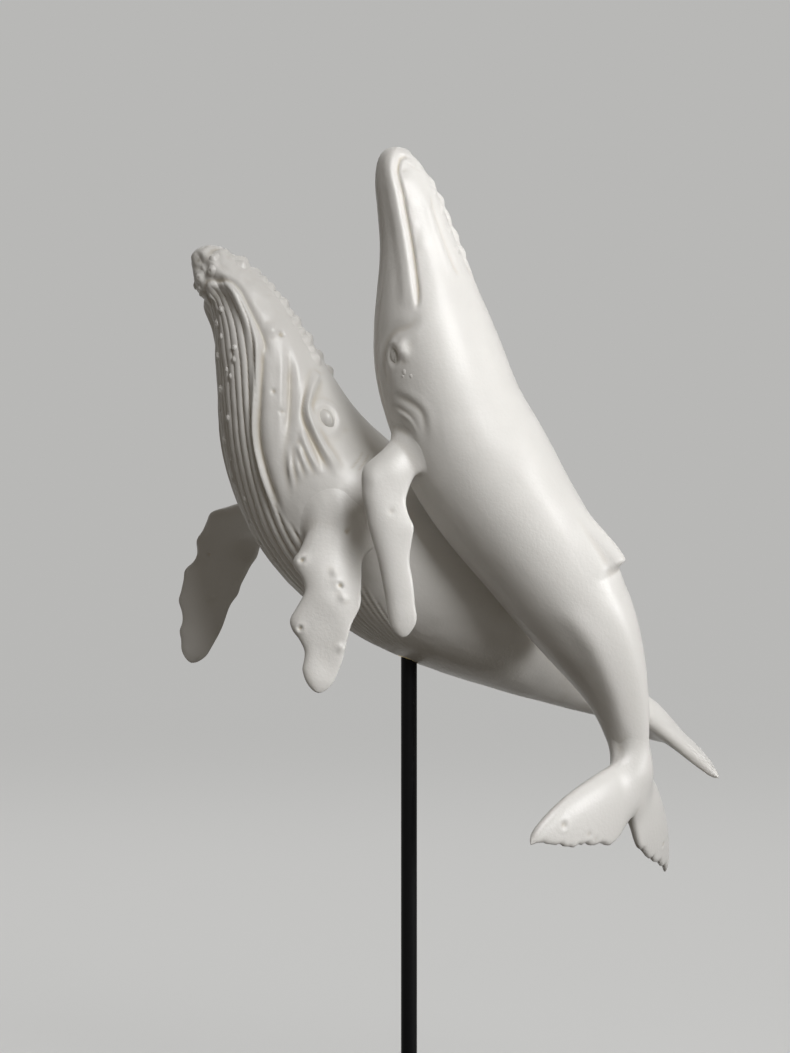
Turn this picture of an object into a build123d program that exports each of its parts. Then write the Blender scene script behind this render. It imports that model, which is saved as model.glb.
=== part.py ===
# Two porcelain humpback whales, a mother and her calf, on a black rod stand.
# The frame: +Z is up, the rod's axis is the Z axis, the felt foot rests on Z = 0,
# and the side that is looked at faces -Y.
from build123d import *

import os
from math import cos, hypot, pi, radians, sin

# Stand, in millimetres
FELT_THICKNESS = 2.0
FELT_SETBACK = 3.0
BASE_DIAMETER = 140.0
BASE_THICKNESS = 10.0
BASE_EDGE_ROUND = 2.0
ROD_DIAMETER = 6.0
ROD_SHOWN = 178.0
ROD_SEAT_DEPTH = 3.0
SPIGOT_DIAMETER = 4.0
SPIGOT_LENGTH = 24.0
SCREW_DIAMETER = 3.0
SCREW_LENGTH = 18.0
SCREW_HEAD_DIAMETER = 6.0
SCREW_HEAD_HEIGHT = 3.0
SCREW_KEY_ACROSS = 2.5
SCREW_KEY_DEPTH = 1.5
SCREW_HOLE_SPARE = 2.0

# Bearing cap on the rod's tip and the socket that turns on it
CAP_CROWN = 2.0
CAP_SKIRT_GAP = 0.3
SOCKET_GRIP = 10.0
SOCKET_WALL = 1.0
SOCKET_PLUG_HEIGHT = 4.0
EPOXY_DIAMETER = 24.0
EPOXY_HEIGHT = 26.0

# Clearances
RUNNING_CLEARANCE = 0.06
GLUE_GAP = 0.1
OVERRUN = 1.0

# Mother: nose to tail stock, largest half sizes, wall of the hollow cast
MOTHER_LENGTH = 300.0
MOTHER_HALF_WIDTH = 33.0
MOTHER_HALF_DEPTH = 33.0
MOTHER_WALL = 4.0
MOTHER_FLIPPER_LENGTH = 76.0
MOTHER_FLIPPER_WIDTH = 22.0
MOTHER_FLIPPER_THICKNESS = 8.5
MOTHER_FLUKE_HALF_SPAN = 46.0
MOTHER_FLUKE_SWEEP = 26.0
MOTHER_FLUKE_DROOP = 4.0
MOTHER_FLUKE_THICKNESS = 7.0
MOTHER_FIN_LENGTH = 30.0
MOTHER_FIN_HEIGHT = 9.0
MOTHER_FIN_THICKNESS = 8.0
MOTHER_EYE_DIAMETER = 7.0
MOTHER_TUBERCLE_DIAMETER = 3.6
MOTHER_BARNACLE_DIAMETER = 4.0

# Calf, measured the same way
CALF_LENGTH = 260.0
CALF_HALF_WIDTH = 25.5
CALF_HALF_DEPTH = 26.0
CALF_WALL = 3.5
CALF_FLIPPER_LENGTH = 70.0
CALF_FLIPPER_WIDTH = 16.5
CALF_FLIPPER_THICKNESS = 8.0
CALF_FLUKE_HALF_SPAN = 48.0
CALF_FLUKE_SWEEP = 33.0
CALF_FLUKE_DROOP = 12.0
CALF_FLUKE_THICKNESS = 6.0
CALF_FIN_LENGTH = 34.0
CALF_FIN_HEIGHT = 6.5
CALF_FIN_THICKNESS = 7.0
CALF_EYE_DIAMETER = 6.0
CALF_TUBERCLE_DIAMETER = 2.8

# Joints between the cast pieces
TENON_DIAMETER = 5.0
TENON_BITE = 3.0
PIN_DIAMETER = 4.0
PIN_LENGTH = 18.0
MEETING_BITE = 1.2

# Spines, as shares of the length: the mother's from the rod's axis, the calf's from its meeting point
MOTHER_SPINE_SHARES = (
    (-0.260, -0.030, 0.383),
    (-0.193, -0.027, 0.286),
    (-0.152, -0.023, 0.172),
    (-0.089, -0.013, 0.069),
    (0.000, 0.000, 0.000),
    (0.117, 0.030, -0.069),
    (0.232, 0.075, -0.148),
    (0.298, 0.098, -0.197),
)
CALF_SPINE_SHARES = (
    (-0.196, 0.002, 0.528),
    (-0.154, -0.002, 0.408),
    (-0.122, -0.010, 0.243),
    (-0.063, -0.008, 0.097),
    (0.000, 0.000, 0.000),
    (0.088, 0.010, -0.135),
    (0.132, 0.017, -0.237),
    (0.150, 0.023, -0.328),
)

# Rings: share along the spine, share of the half width, share of the half depth
MOTHER_RING_SHARES = (
    (0.00, 0.12, 0.10),
    (0.02, 0.26, 0.23),
    (0.06, 0.40, 0.36),
    (0.14, 0.56, 0.48),
    (0.22, 0.69, 0.635),
    (0.30, 0.81, 0.785),
    (0.40, 0.95, 0.945),
    (0.50, 1.00, 1.00),
    (0.60, 0.98, 0.98),
    (0.70, 0.84, 0.87),
    (0.80, 0.60, 0.68),
    (0.88, 0.38, 0.48),
    (0.95, 0.22, 0.28),
    (1.00, 0.15, 0.16),
)
CALF_RING_SHARES = (
    (0.00, 0.14, 0.12),
    (0.02, 0.30, 0.27),
    (0.06, 0.44, 0.41),
    (0.135, 0.55, 0.53),
    (0.23, 0.74, 0.75),
    (0.315, 0.89, 0.91),
    (0.40, 0.96, 0.955),
    (0.48, 1.00, 1.00),
    (0.55, 0.97, 0.965),
    (0.66, 0.85, 0.865),
    (0.78, 0.66, 0.73),
    (0.85, 0.46, 0.56),
    (0.90, 0.33, 0.43),
    (0.95, 0.24, 0.32),
    (1.00, 0.20, 0.22),
)

# Which way each back points at the nose and at the tail
MOTHER_BACK_SHARES = ((0.73, 0.53, 0.43), (0.60, -0.05, 0.80))
CALF_BACK_SHARES = ((0.81, -0.47, 0.35), (0.79, -0.52, 0.13))

# Where the calf lies against the mother
MEETING_MOTHER_SHARE = 0.655
MEETING_CALF_SHARE = 0.605
MEETING_DIRECTION_SHARES = (0.42, -0.80, 0.43)

# How far the mother's sloping belly lies under her spine at the rod, in half depths
OVER_ROD_SHARE = 1.05

# Where the flippers grow from: share along the spine and angle down from the side in degrees
MOTHER_FLIPPER_ALONG_SHARE = 0.39
MOTHER_FLIPPER_ANGLE = 25.0
CALF_FLIPPER_ALONG_SHARE = 0.43
CALF_FLIPPER_ANGLE = 30.0

# Flipper rings: share along, share of the width, share of the thickness, shift across in widths
MOTHER_FLIPPER_RING_SHARES = (
    (0.00, 0.66, 1.00, 0.00),
    (0.12, 0.70, 1.00, 0.00),
    (0.26, 0.82, 0.92, 0.00),
    (0.42, 1.00, 0.84, -0.06),
    (0.56, 0.90, 0.72, 0.02),
    (0.69, 0.90, 0.62, -0.05),
    (0.82, 0.68, 0.52, 0.02),
    (0.94, 0.45, 0.40, 0.00),
    (1.00, 0.18, 0.20, 0.00),
)
CALF_FLIPPER_RING_SHARES = (
    (0.00, 0.70, 1.10, 0.00),
    (0.14, 0.84, 1.10, 0.00),
    (0.28, 1.00, 1.00, -0.04),
    (0.42, 0.92, 0.86, 0.02),
    (0.52, 0.94, 0.78, 0.08),
    (0.64, 0.70, 0.70, 0.00),
    (0.80, 0.62, 0.62, 0.00),
    (0.94, 0.48, 0.46, 0.00),
    (1.00, 0.20, 0.24, 0.00),
)

# Flipper paths from their roots, as shares of the flipper's length, and which way the width lies
FLIPPER_PATH_SHARES = {
    "mother_left_flipper": (
        (0.08, 0.11, 0.10),
        (0.09, -0.02, 0.00),
        (0.09, -0.09, -0.20),
        (0.06, -0.13, -0.46),
        (0.00, -0.15, -0.89),
    ),
    "mother_right_flipper": (
        (0.10, -0.10, 0.03),
        (-0.04, 0.06, 0.03),
        (-0.225, 0.28, -0.12),
        (-0.35, 0.39, -0.40),
        (-0.45, 0.45, -0.74),
    ),
    "calf_left_flipper": (
        (0.03, 0.10, 0.12),
        (-0.06, -0.02, -0.03),
        (-0.13, -0.06, -0.21),
        (-0.10, -0.07, -0.42),
        (-0.035, -0.04, -0.92),
    ),
    "calf_right_flipper": (
        (0.00, -0.10, 0.02),
        (0.02, 0.10, 0.02),
        (0.10, 0.48, -0.04),
        (0.20, 0.80, -0.30),
    ),
}
FLIPPER_CHORD_SHARES = {
    "mother_left_flipper": (1.0, 0.0, -0.1),
    "mother_right_flipper": (0.95, 0.1, -0.3),
    "calf_left_flipper": (1.0, -0.1, 0.0),
    "calf_right_flipper": (0.9, 0.0, -0.3),
}

# Fluke rings on one side: share of the half span, leading edge and trailing edge in sweeps, share of the thickness
FLUKE_RING_SHARES = (
    (0.00, -0.16, 0.56, 1.00),
    (0.14, -0.06, 0.74, 0.86),
    (0.32, 0.12, 0.88, 0.66),
    (0.55, 0.33, 0.96, 0.48),
    (0.80, 0.63, 0.99, 0.34),
    (0.94, 0.87, 1.02, 0.22),
    (1.00, 1.00, 1.06, 0.14),
)

# Which way each fluke's left lobe and trailing edge point
FLUKE_LEFT_SHARES = {"mother_fluke": (0.12, -0.98, -0.10), "calf_fluke": (-0.56, -0.82, 0.125)}
FLUKE_AFT_SHARES = {"mother_fluke": (0.80, 0.24, -0.46), "calf_fluke": (0.10, 0.08, -0.99)}

# Where the back fins stand along the spine
MOTHER_FIN_ALONG_SHARE = 0.70
CALF_FIN_ALONG_SHARE = 0.67

# Back fin rings: share of the height, share of the length, shift tailwards in lengths, share of the thickness
FIN_SINK_SHARE = 0.60
FIN_RING_SHARES = (
    (-FIN_SINK_SHARE, 1.10, -0.10, 1.00),
    (0.00, 0.90, 0.00, 0.86),
    (0.50, 0.58, 0.16, 0.62),
    (0.86, 0.32, 0.29, 0.42),
    (1.00, 0.16, 0.35, 0.24),
)

# Eyes and skin bumps: shares along the spine, with angles up from the side in degrees
MOTHER_EYE_ALONG_SHARE = 0.29
MOTHER_EYE_ANGLE = 4.0
CALF_EYE_ALONG_SHARE = 0.31
CALF_EYE_ANGLE = -8.0
EYE_SINK_SHARE = 0.20
TUBERCLE_ALONG_SHARES = (0.06, 0.10, 0.14, 0.18, 0.22)
TUBERCLE_ANGLES = (40.0, 90.0, 140.0)
TUBERCLE_SINK_SHARE = 0.15
BARNACLE_ALONG_SHARES = (0.10, 0.17, 0.24, 0.31, 0.38)
BARNACLE_ANGLES = (-76.0, -100.0)
BARNACLE_SINK_SHARE = 0.15

OVAL_POINTS = 8


class Whale:
    """A whale's form: its spine, the rings along it and which way its back points."""

    def __init__(self, length, half_width, half_depth, spine_shares, ring_shares, back_shares, start):
        self.half_width = half_width
        self.half_depth = half_depth
        self.ring_shares = ring_shares
        self.nose_back, self.tail_back = (Vector(*back) for back in back_shares)
        with BuildLine() as line:
            Spline(*[start + Vector(*share) * length for share in spine_shares])
        self.spine = line.edge()

    def plane(self, along_share):
        """The plane square to the spine: X to the whale's left, Y to its back, Z to its nose."""
        forward = -(self.spine % along_share)
        back = self.nose_back * (1 - along_share) + self.tail_back * along_share
        left = back.cross(forward)
        return Plane(origin=self.spine @ along_share, x_dir=left, z_dir=forward)

    def half_sizes(self, along_share):
        """Half width and half depth at a place along the spine, between its two nearest rings."""
        for near, far in zip(self.ring_shares, self.ring_shares[1:]):
            if along_share <= far[0]:
                part = (along_share - near[0]) / (far[0] - near[0])
                width_share = near[1] + (far[1] - near[1]) * part
                depth_share = near[2] + (far[2] - near[2]) * part
                return self.half_width * width_share, self.half_depth * depth_share

    def skin_plane(self, along_share, angle):
        """A plane on the skin, with Z pointing out of it, at an angle up from the left side."""
        ring = self.plane(along_share)
        half_width, half_depth = self.half_sizes(along_share)
        point = ring.from_local_coords((half_width * cos(radians(angle)), half_depth * sin(radians(angle)), 0))
        outward = ring.x_dir * cos(radians(angle)) + ring.y_dir * sin(radians(angle))
        return Plane(origin=point, x_dir=ring.z_dir, z_dir=outward)

    def reach(self, along_share, direction):
        """How far the skin is from the spine in a direction, by the ring's oval."""
        ring = self.plane(along_share)
        half_width, half_depth = self.half_sizes(along_share)
        left = direction.dot(ring.x_dir)
        back = direction.dot(ring.y_dir)
        return hypot(left, back) / hypot(left / half_width, back / half_depth)

    def rings(self, wall=0.0):
        """The skin's rings, or with a wall the rings of the hollow inside it."""
        found = []
        for along_share, width_share, depth_share in self.ring_shares:
            half_width = self.half_width * width_share - wall
            half_depth = self.half_depth * depth_share - wall
            if min(half_width, half_depth) > wall / 2:
                found.append((self.plane(along_share), half_width, half_depth))
        return found


def oval(half_x, half_y):
    """Points of an oval from its top round, the corners of a smooth closed curve."""
    turns = [pi / 2 + 2 * pi * count / OVAL_POINTS for count in range(OVAL_POINTS)]
    return [(half_x * cos(turn), half_y * sin(turn)) for turn in turns]


def lofted(rings):
    """A smooth solid through a row of ovals, each a plane with its two half sizes."""
    with BuildPart() as body:
        for plane, half_x, half_y in rings:
            with BuildSketch(plane):
                with BuildLine():
                    Spline(*oval(half_x, half_y), periodic=True)
                make_face()
        loft()
    return body.part


def square_to(direction, axis):
    """The part of a direction that lies square to an axis, at unit length."""
    return (direction - axis * direction.dot(axis)).normalized()


def flipper_rings(name, root, ring_shares, length, width, thickness):
    """Rings of a flipper along its path from a root point, with its width along the chord."""
    with BuildLine() as line:
        Spline(*[root + Vector(*share) * length for share in FLIPPER_PATH_SHARES[name]])
    path = line.edge()
    chord = Vector(*FLIPPER_CHORD_SHARES[name])
    rings = []
    for along_share, width_share, thickness_share, shift_share in ring_shares:
        tangent = path % along_share
        across = square_to(chord, tangent)
        centre = path @ along_share + across * (width * shift_share)
        plane = Plane(origin=centre, x_dir=across, z_dir=tangent)
        rings.append((plane, width * width_share / 2, thickness * thickness_share / 2))
    return rings


def fluke_rings(name, end, half_span, sweep, droop, thickness):
    """Rings of a tail fluke from its left tip to its right one, its tips drooping to the belly side."""
    left = Vector(*FLUKE_LEFT_SHARES[name]).normalized()
    aft = square_to(Vector(*FLUKE_AFT_SHARES[name]), left)
    down = aft.cross(left)
    mirrored = [(-share[0], *share[1:]) for share in FLUKE_RING_SHARES[1:]]
    rings = []
    for span_share, lead_share, trail_share, thickness_share in [*FLUKE_RING_SHARES[::-1], *mirrored]:
        middle = (lead_share + trail_share) / 2
        centre = end + left * (half_span * span_share) + aft * (sweep * middle) + down * (droop * span_share**2)
        plane = Plane(origin=centre, x_dir=aft, z_dir=left)
        rings.append((plane, sweep * (trail_share - lead_share) / 2, thickness * thickness_share / 2))
    return rings


def fin_rings(whale, along_share, length, height, thickness):
    """Rings of the small fin on the back, from under the skin to its tip."""
    foot = whale.skin_plane(along_share, 90)
    tailwards = -foot.x_dir
    rings = []
    for height_share, length_share, shift_share, thickness_share in FIN_RING_SHARES:
        centre = foot.origin + foot.z_dir * (height * height_share) + tailwards * (length * shift_share)
        plane = Plane(origin=centre, x_dir=tailwards, z_dir=foot.z_dir)
        rings.append((plane, length * length_share / 2, thickness * thickness_share / 2))
    return rings


# Heights up the stand
base_bottom = FELT_THICKNESS
base_top = base_bottom + BASE_THICKNESS
belly_height = base_top + ROD_SHOWN
shoulder_height = belly_height + SOCKET_GRIP
rod_tip = shoulder_height + SPIGOT_LENGTH
cap_top = rod_tip + CAP_CROWN
socket_bore = ROD_DIAMETER + 2 * RUNNING_CLEARANCE
socket_diameter = socket_bore + 2 * SOCKET_WALL
socket_top = cap_top + SOCKET_PLUG_HEIGHT

# The two forms, the calf set against the mother
mother = Whale(
    MOTHER_LENGTH,
    MOTHER_HALF_WIDTH,
    MOTHER_HALF_DEPTH,
    MOTHER_SPINE_SHARES,
    MOTHER_RING_SHARES,
    MOTHER_BACK_SHARES,
    Vector(0, 0, belly_height + MOTHER_HALF_DEPTH * OVER_ROD_SHARE),
)
meeting = Vector(*MEETING_DIRECTION_SHARES).normalized()
mother_middle = mother.spine @ MEETING_MOTHER_SHARE
mother_reach = mother.reach(MEETING_MOTHER_SHARE, meeting)
calf_form = (CALF_LENGTH, CALF_HALF_WIDTH, CALF_HALF_DEPTH, CALF_SPINE_SHARES, CALF_RING_SHARES, CALF_BACK_SHARES)
calf_reach = Whale(*calf_form, mother_middle).reach(MEETING_CALF_SHARE, meeting)
calf = Whale(*calf_form, mother_middle + meeting * (mother_reach + calf_reach - MEETING_BITE))

mother_skin = lofted(mother.rings())
mother_hollow = lofted(mother.rings(MOTHER_WALL))
calf_skin = lofted(calf.rings())
calf_hollow = lofted(calf.rings(CALF_WALL))

# Each whale's form, skin, hollow, wall, and its flippers' angle, place, rings and sizes
whales = {
    "mother": (mother, mother_skin, mother_hollow, MOTHER_WALL),
    "calf": (calf, calf_skin, calf_hollow, CALF_WALL),
}
flipper_seats = {
    "mother": (MOTHER_FLIPPER_ALONG_SHARE, MOTHER_FLIPPER_ANGLE),
    "calf": (CALF_FLIPPER_ALONG_SHARE, CALF_FLIPPER_ANGLE),
}
flipper_forms = {
    "mother": (
        MOTHER_FLIPPER_RING_SHARES,
        MOTHER_FLIPPER_LENGTH,
        MOTHER_FLIPPER_WIDTH,
        MOTHER_FLIPPER_THICKNESS,
    ),
    "calf": (CALF_FLIPPER_RING_SHARES, CALF_FLIPPER_LENGTH, CALF_FLIPPER_WIDTH, CALF_FLIPPER_THICKNESS),
}
seats = {}
for whale_name, (along_share, angle) in flipper_seats.items():
    seats[f"{whale_name}_left_flipper"] = whales[whale_name][0].skin_plane(along_share, -angle)
    seats[f"{whale_name}_right_flipper"] = whales[whale_name][0].skin_plane(along_share, 180 + angle)

pieces = {}

# The stand: felt foot, steel disc, rod and the screw that holds them together
with BuildPart() as felt_foot:
    with BuildSketch():
        Circle(BASE_DIAMETER / 2 - FELT_SETBACK)
    extrude(amount=FELT_THICKNESS)
pieces["felt_foot"] = felt_foot.part

with BuildPart() as base_disc:
    with BuildSketch(Plane.XY.offset(base_bottom)):
        Circle(BASE_DIAMETER / 2)
    extrude(amount=BASE_THICKNESS)
    fillet(base_disc.edges().group_by(Axis.Z)[-1], BASE_EDGE_ROUND)
    with BuildSketch(Plane.XY.offset(base_top - ROD_SEAT_DEPTH)):
        Circle(ROD_DIAMETER / 2)
    extrude(amount=ROD_SEAT_DEPTH, mode=Mode.SUBTRACT)
    with Locations(Plane.XY.offset(base_bottom).rotated((180, 0, 0))):
        CounterBoreHole(
            SCREW_DIAMETER / 2 + GLUE_GAP, SCREW_HEAD_DIAMETER / 2 + GLUE_GAP, SCREW_HEAD_HEIGHT
        )
pieces["base_disc"] = base_disc.part

screw_seat = base_bottom + SCREW_HEAD_HEIGHT
with BuildPart() as base_screw:
    with BuildSketch(Plane.XY.offset(base_bottom)):
        Circle(SCREW_HEAD_DIAMETER / 2)
    extrude(amount=SCREW_HEAD_HEIGHT)
    with BuildSketch(Plane.XY.offset(screw_seat)):
        Circle(SCREW_DIAMETER / 2)
    extrude(amount=SCREW_LENGTH)
    with BuildSketch(Plane.XY.offset(base_bottom)):
        RegularPolygon(SCREW_KEY_ACROSS / 2, 6, major_radius=False)
    extrude(amount=SCREW_KEY_DEPTH, mode=Mode.SUBTRACT)
pieces["base_screw"] = base_screw.part

rod_foot = base_top - ROD_SEAT_DEPTH
with BuildPart() as rod:
    with BuildSketch(Plane.XY.offset(rod_foot)):
        Circle(ROD_DIAMETER / 2)
    extrude(amount=shoulder_height - rod_foot)
    with BuildSketch(Plane.XY.offset(shoulder_height)):
        Circle(SPIGOT_DIAMETER / 2)
    extrude(amount=SPIGOT_LENGTH)
    with BuildSketch(Plane.XY.offset(rod_foot)):
        Circle(SCREW_DIAMETER / 2)
    extrude(amount=screw_seat + SCREW_LENGTH + SCREW_HOLE_SPARE - rod_foot, mode=Mode.SUBTRACT)
pieces["rod"] = rod.part

# The nylon cap that turns on the rod's tip
cap_skirt = shoulder_height + CAP_SKIRT_GAP
with BuildPart() as bearing_cap:
    with BuildSketch(Plane.XY.offset(cap_skirt)):
        Circle(ROD_DIAMETER / 2)
    extrude(amount=cap_top - cap_skirt)
    with BuildSketch(Plane.XY.offset(cap_skirt)):
        Circle(SPIGOT_DIAMETER / 2 + RUNNING_CLEARANCE)
    extrude(amount=rod_tip - cap_skirt, mode=Mode.SUBTRACT)
pieces["bearing_cap"] = bearing_cap.part

# The brass socket in the mother's belly, flush with her skin, and what holds it
with BuildPart() as socket_tube:
    with BuildSketch(Plane.XY.offset(base_top)):
        Circle(socket_diameter / 2)
        Circle(socket_bore / 2, mode=Mode.SUBTRACT)
    extrude(amount=socket_top - base_top)
    add(mother_skin, mode=Mode.INTERSECT)
pieces["socket_tube"] = socket_tube.part

with BuildPart() as socket_plug:
    with BuildSketch(Plane.XY.offset(cap_top)):
        Circle(socket_bore / 2)
    extrude(amount=SOCKET_PLUG_HEIGHT)
pieces["socket_plug"] = socket_plug.part

with BuildPart() as epoxy_bed:
    with BuildSketch(Plane.XY.offset(base_top)):
        Circle(EPOXY_DIAMETER / 2)
    extrude(amount=belly_height + EPOXY_HEIGHT - base_top)
    add(mother_hollow, mode=Mode.INTERSECT)
    with BuildSketch(Plane.XY.offset(base_top)):
        Circle(socket_diameter / 2)
    extrude(amount=belly_height + EPOXY_HEIGHT - base_top, mode=Mode.SUBTRACT)
pieces["epoxy_bed"] = epoxy_bed.part

# The steel pin that crosses the seam between the two whales
seam = Plane(origin=mother_middle + meeting * mother_reach, z_dir=meeting)
with BuildPart() as joining_pin:
    with BuildSketch(seam.offset(-PIN_LENGTH / 2)):
        Circle(PIN_DIAMETER / 2)
    extrude(amount=PIN_LENGTH)
pieces["joining_pin"] = joining_pin.part

# The two hollow casts, with the holes for socket, pin and tenons
for whale_name, (whale, skin, hollow, wall) in whales.items():
    with BuildPart() as cast:
        add(skin)
        add(hollow, mode=Mode.SUBTRACT)
        with BuildSketch(seam.offset(-PIN_LENGTH / 2)):
            Circle(PIN_DIAMETER / 2 + GLUE_GAP)
        extrude(amount=PIN_LENGTH, mode=Mode.SUBTRACT)
        for name, seat in seats.items():
            if name.startswith(whale_name):
                with BuildSketch(seat.offset(OVERRUN)):
                    Circle(TENON_DIAMETER / 2 + GLUE_GAP)
                extrude(amount=-(wall + TENON_BITE + OVERRUN), mode=Mode.SUBTRACT)
        if whale_name == "mother":
            with BuildSketch(Plane.XY.offset(base_top)):
                Circle(socket_diameter / 2)
            extrude(amount=belly_height + EPOXY_HEIGHT - base_top, mode=Mode.SUBTRACT)
        else:
            add(mother_skin, mode=Mode.SUBTRACT)
    pieces[f"{whale_name}_body"] = cast.part

# The flippers, each seated on the skin with a tenon through the wall
for name, seat in seats.items():
    whale_name = name.split("_")[0]
    whale, skin, hollow, wall = whales[whale_name]
    blade = lofted(flipper_rings(name, seat.origin, *flipper_forms[whale_name]))
    with BuildPart() as flipper:
        add(blade)
        add(skin, mode=Mode.SUBTRACT)
        with BuildSketch(seat.offset(OVERRUN)):
            Circle(TENON_DIAMETER / 2)
        extrude(amount=-(wall + TENON_BITE))
    pieces[name] = flipper.part

# The tail flukes and the back fins
fluke_sizes = {
    "mother": (MOTHER_FLUKE_HALF_SPAN, MOTHER_FLUKE_SWEEP, MOTHER_FLUKE_DROOP, MOTHER_FLUKE_THICKNESS),
    "calf": (CALF_FLUKE_HALF_SPAN, CALF_FLUKE_SWEEP, CALF_FLUKE_DROOP, CALF_FLUKE_THICKNESS),
}
fin_sizes = {
    "mother": (MOTHER_FIN_ALONG_SHARE, MOTHER_FIN_LENGTH, MOTHER_FIN_HEIGHT, MOTHER_FIN_THICKNESS),
    "calf": (CALF_FIN_ALONG_SHARE, CALF_FIN_LENGTH, CALF_FIN_HEIGHT, CALF_FIN_THICKNESS),
}
for whale_name, (whale, skin, hollow, wall) in whales.items():
    blades = {
        f"{whale_name}_fluke": fluke_rings(f"{whale_name}_fluke", whale.spine @ 1, *fluke_sizes[whale_name]),
        f"{whale_name}_back_fin": fin_rings(whale, *fin_sizes[whale_name]),
    }
    for name, rings in blades.items():
        blade = lofted(rings)
        with BuildPart() as fin:
            add(blade)
            add(skin, mode=Mode.SUBTRACT)
        pieces[name] = fin.part

# Eyes and skin bumps, pellets set on the skin and each cut to it
mother_eye_places = [(MOTHER_EYE_ALONG_SHARE, angle) for angle in (MOTHER_EYE_ANGLE, 180 - MOTHER_EYE_ANGLE)]
calf_eye_places = [(CALF_EYE_ALONG_SHARE, angle) for angle in (CALF_EYE_ANGLE, 180 - CALF_EYE_ANGLE)]
tubercle_places = [(share, angle) for share in TUBERCLE_ALONG_SHARES for angle in TUBERCLE_ANGLES]
barnacle_places = [(share, angle) for share in BARNACLE_ALONG_SHARES for angle in BARNACLE_ANGLES]
pellet_forms = {
    "mother_eyes": (mother_eye_places, MOTHER_EYE_DIAMETER, EYE_SINK_SHARE),
    "calf_eyes": (calf_eye_places, CALF_EYE_DIAMETER, EYE_SINK_SHARE),
    "mother_tubercles": (tubercle_places, MOTHER_TUBERCLE_DIAMETER, TUBERCLE_SINK_SHARE),
    "mother_barnacles": (barnacle_places, MOTHER_BARNACLE_DIAMETER, BARNACLE_SINK_SHARE),
    "calf_tubercles": (tubercle_places, CALF_TUBERCLE_DIAMETER, TUBERCLE_SINK_SHARE),
}
for name, (places, diameter, sink_share) in pellet_forms.items():
    whale, skin, hollow, wall = whales[name.split("_")[0]]
    cut_pellets = []
    for along_share, angle in places:
        with BuildPart() as pellet:
            with Locations(whale.skin_plane(along_share, angle).offset(-diameter * sink_share)):
                Sphere(diameter / 2)
            add(skin, mode=Mode.SUBTRACT)
        cut_pellets.append(pellet.part)
    with BuildPart() as pellets:
        add(cut_pellets)
    pieces[name] = pellets.part

os.makedirs("parts", exist_ok=True)
for name, part in pieces.items():
    part.label = name
    export_step(part, f"parts/{name}.step")
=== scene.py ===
import itertools
import math

import bmesh
import bpy
import numpy as np
from bpy.props import FloatProperty, FloatVectorProperty, PointerProperty
from bpy.types import Operator, Panel, PropertyGroup
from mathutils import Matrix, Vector
from mathutils.bvhtree import BVHTree
from mathutils.noise import noise


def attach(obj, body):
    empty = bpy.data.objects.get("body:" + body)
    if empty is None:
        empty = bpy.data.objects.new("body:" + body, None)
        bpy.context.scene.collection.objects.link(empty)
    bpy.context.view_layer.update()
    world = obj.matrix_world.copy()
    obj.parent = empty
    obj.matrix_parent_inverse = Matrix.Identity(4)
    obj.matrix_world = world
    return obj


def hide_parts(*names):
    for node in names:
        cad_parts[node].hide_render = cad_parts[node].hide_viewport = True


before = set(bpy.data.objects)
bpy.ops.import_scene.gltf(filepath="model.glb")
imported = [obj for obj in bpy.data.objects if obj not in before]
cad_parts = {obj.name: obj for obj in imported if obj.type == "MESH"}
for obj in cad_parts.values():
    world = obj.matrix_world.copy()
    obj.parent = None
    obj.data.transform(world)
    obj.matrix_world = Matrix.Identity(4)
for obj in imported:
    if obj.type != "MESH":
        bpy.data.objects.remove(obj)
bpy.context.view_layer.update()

bl_info = {
    "name": "Porcelain whales on a rod",
    "version": (1, 0, 0),
    "blender": (4, 5, 0),
    "location": "3D View > Sidebar > Whales",
    "description": "Dresses the packed whale pair in sculpted porcelain and sets its studio stage",
    "category": "Object",
}

MM = 0.001
FIGURE = "figure"

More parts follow.
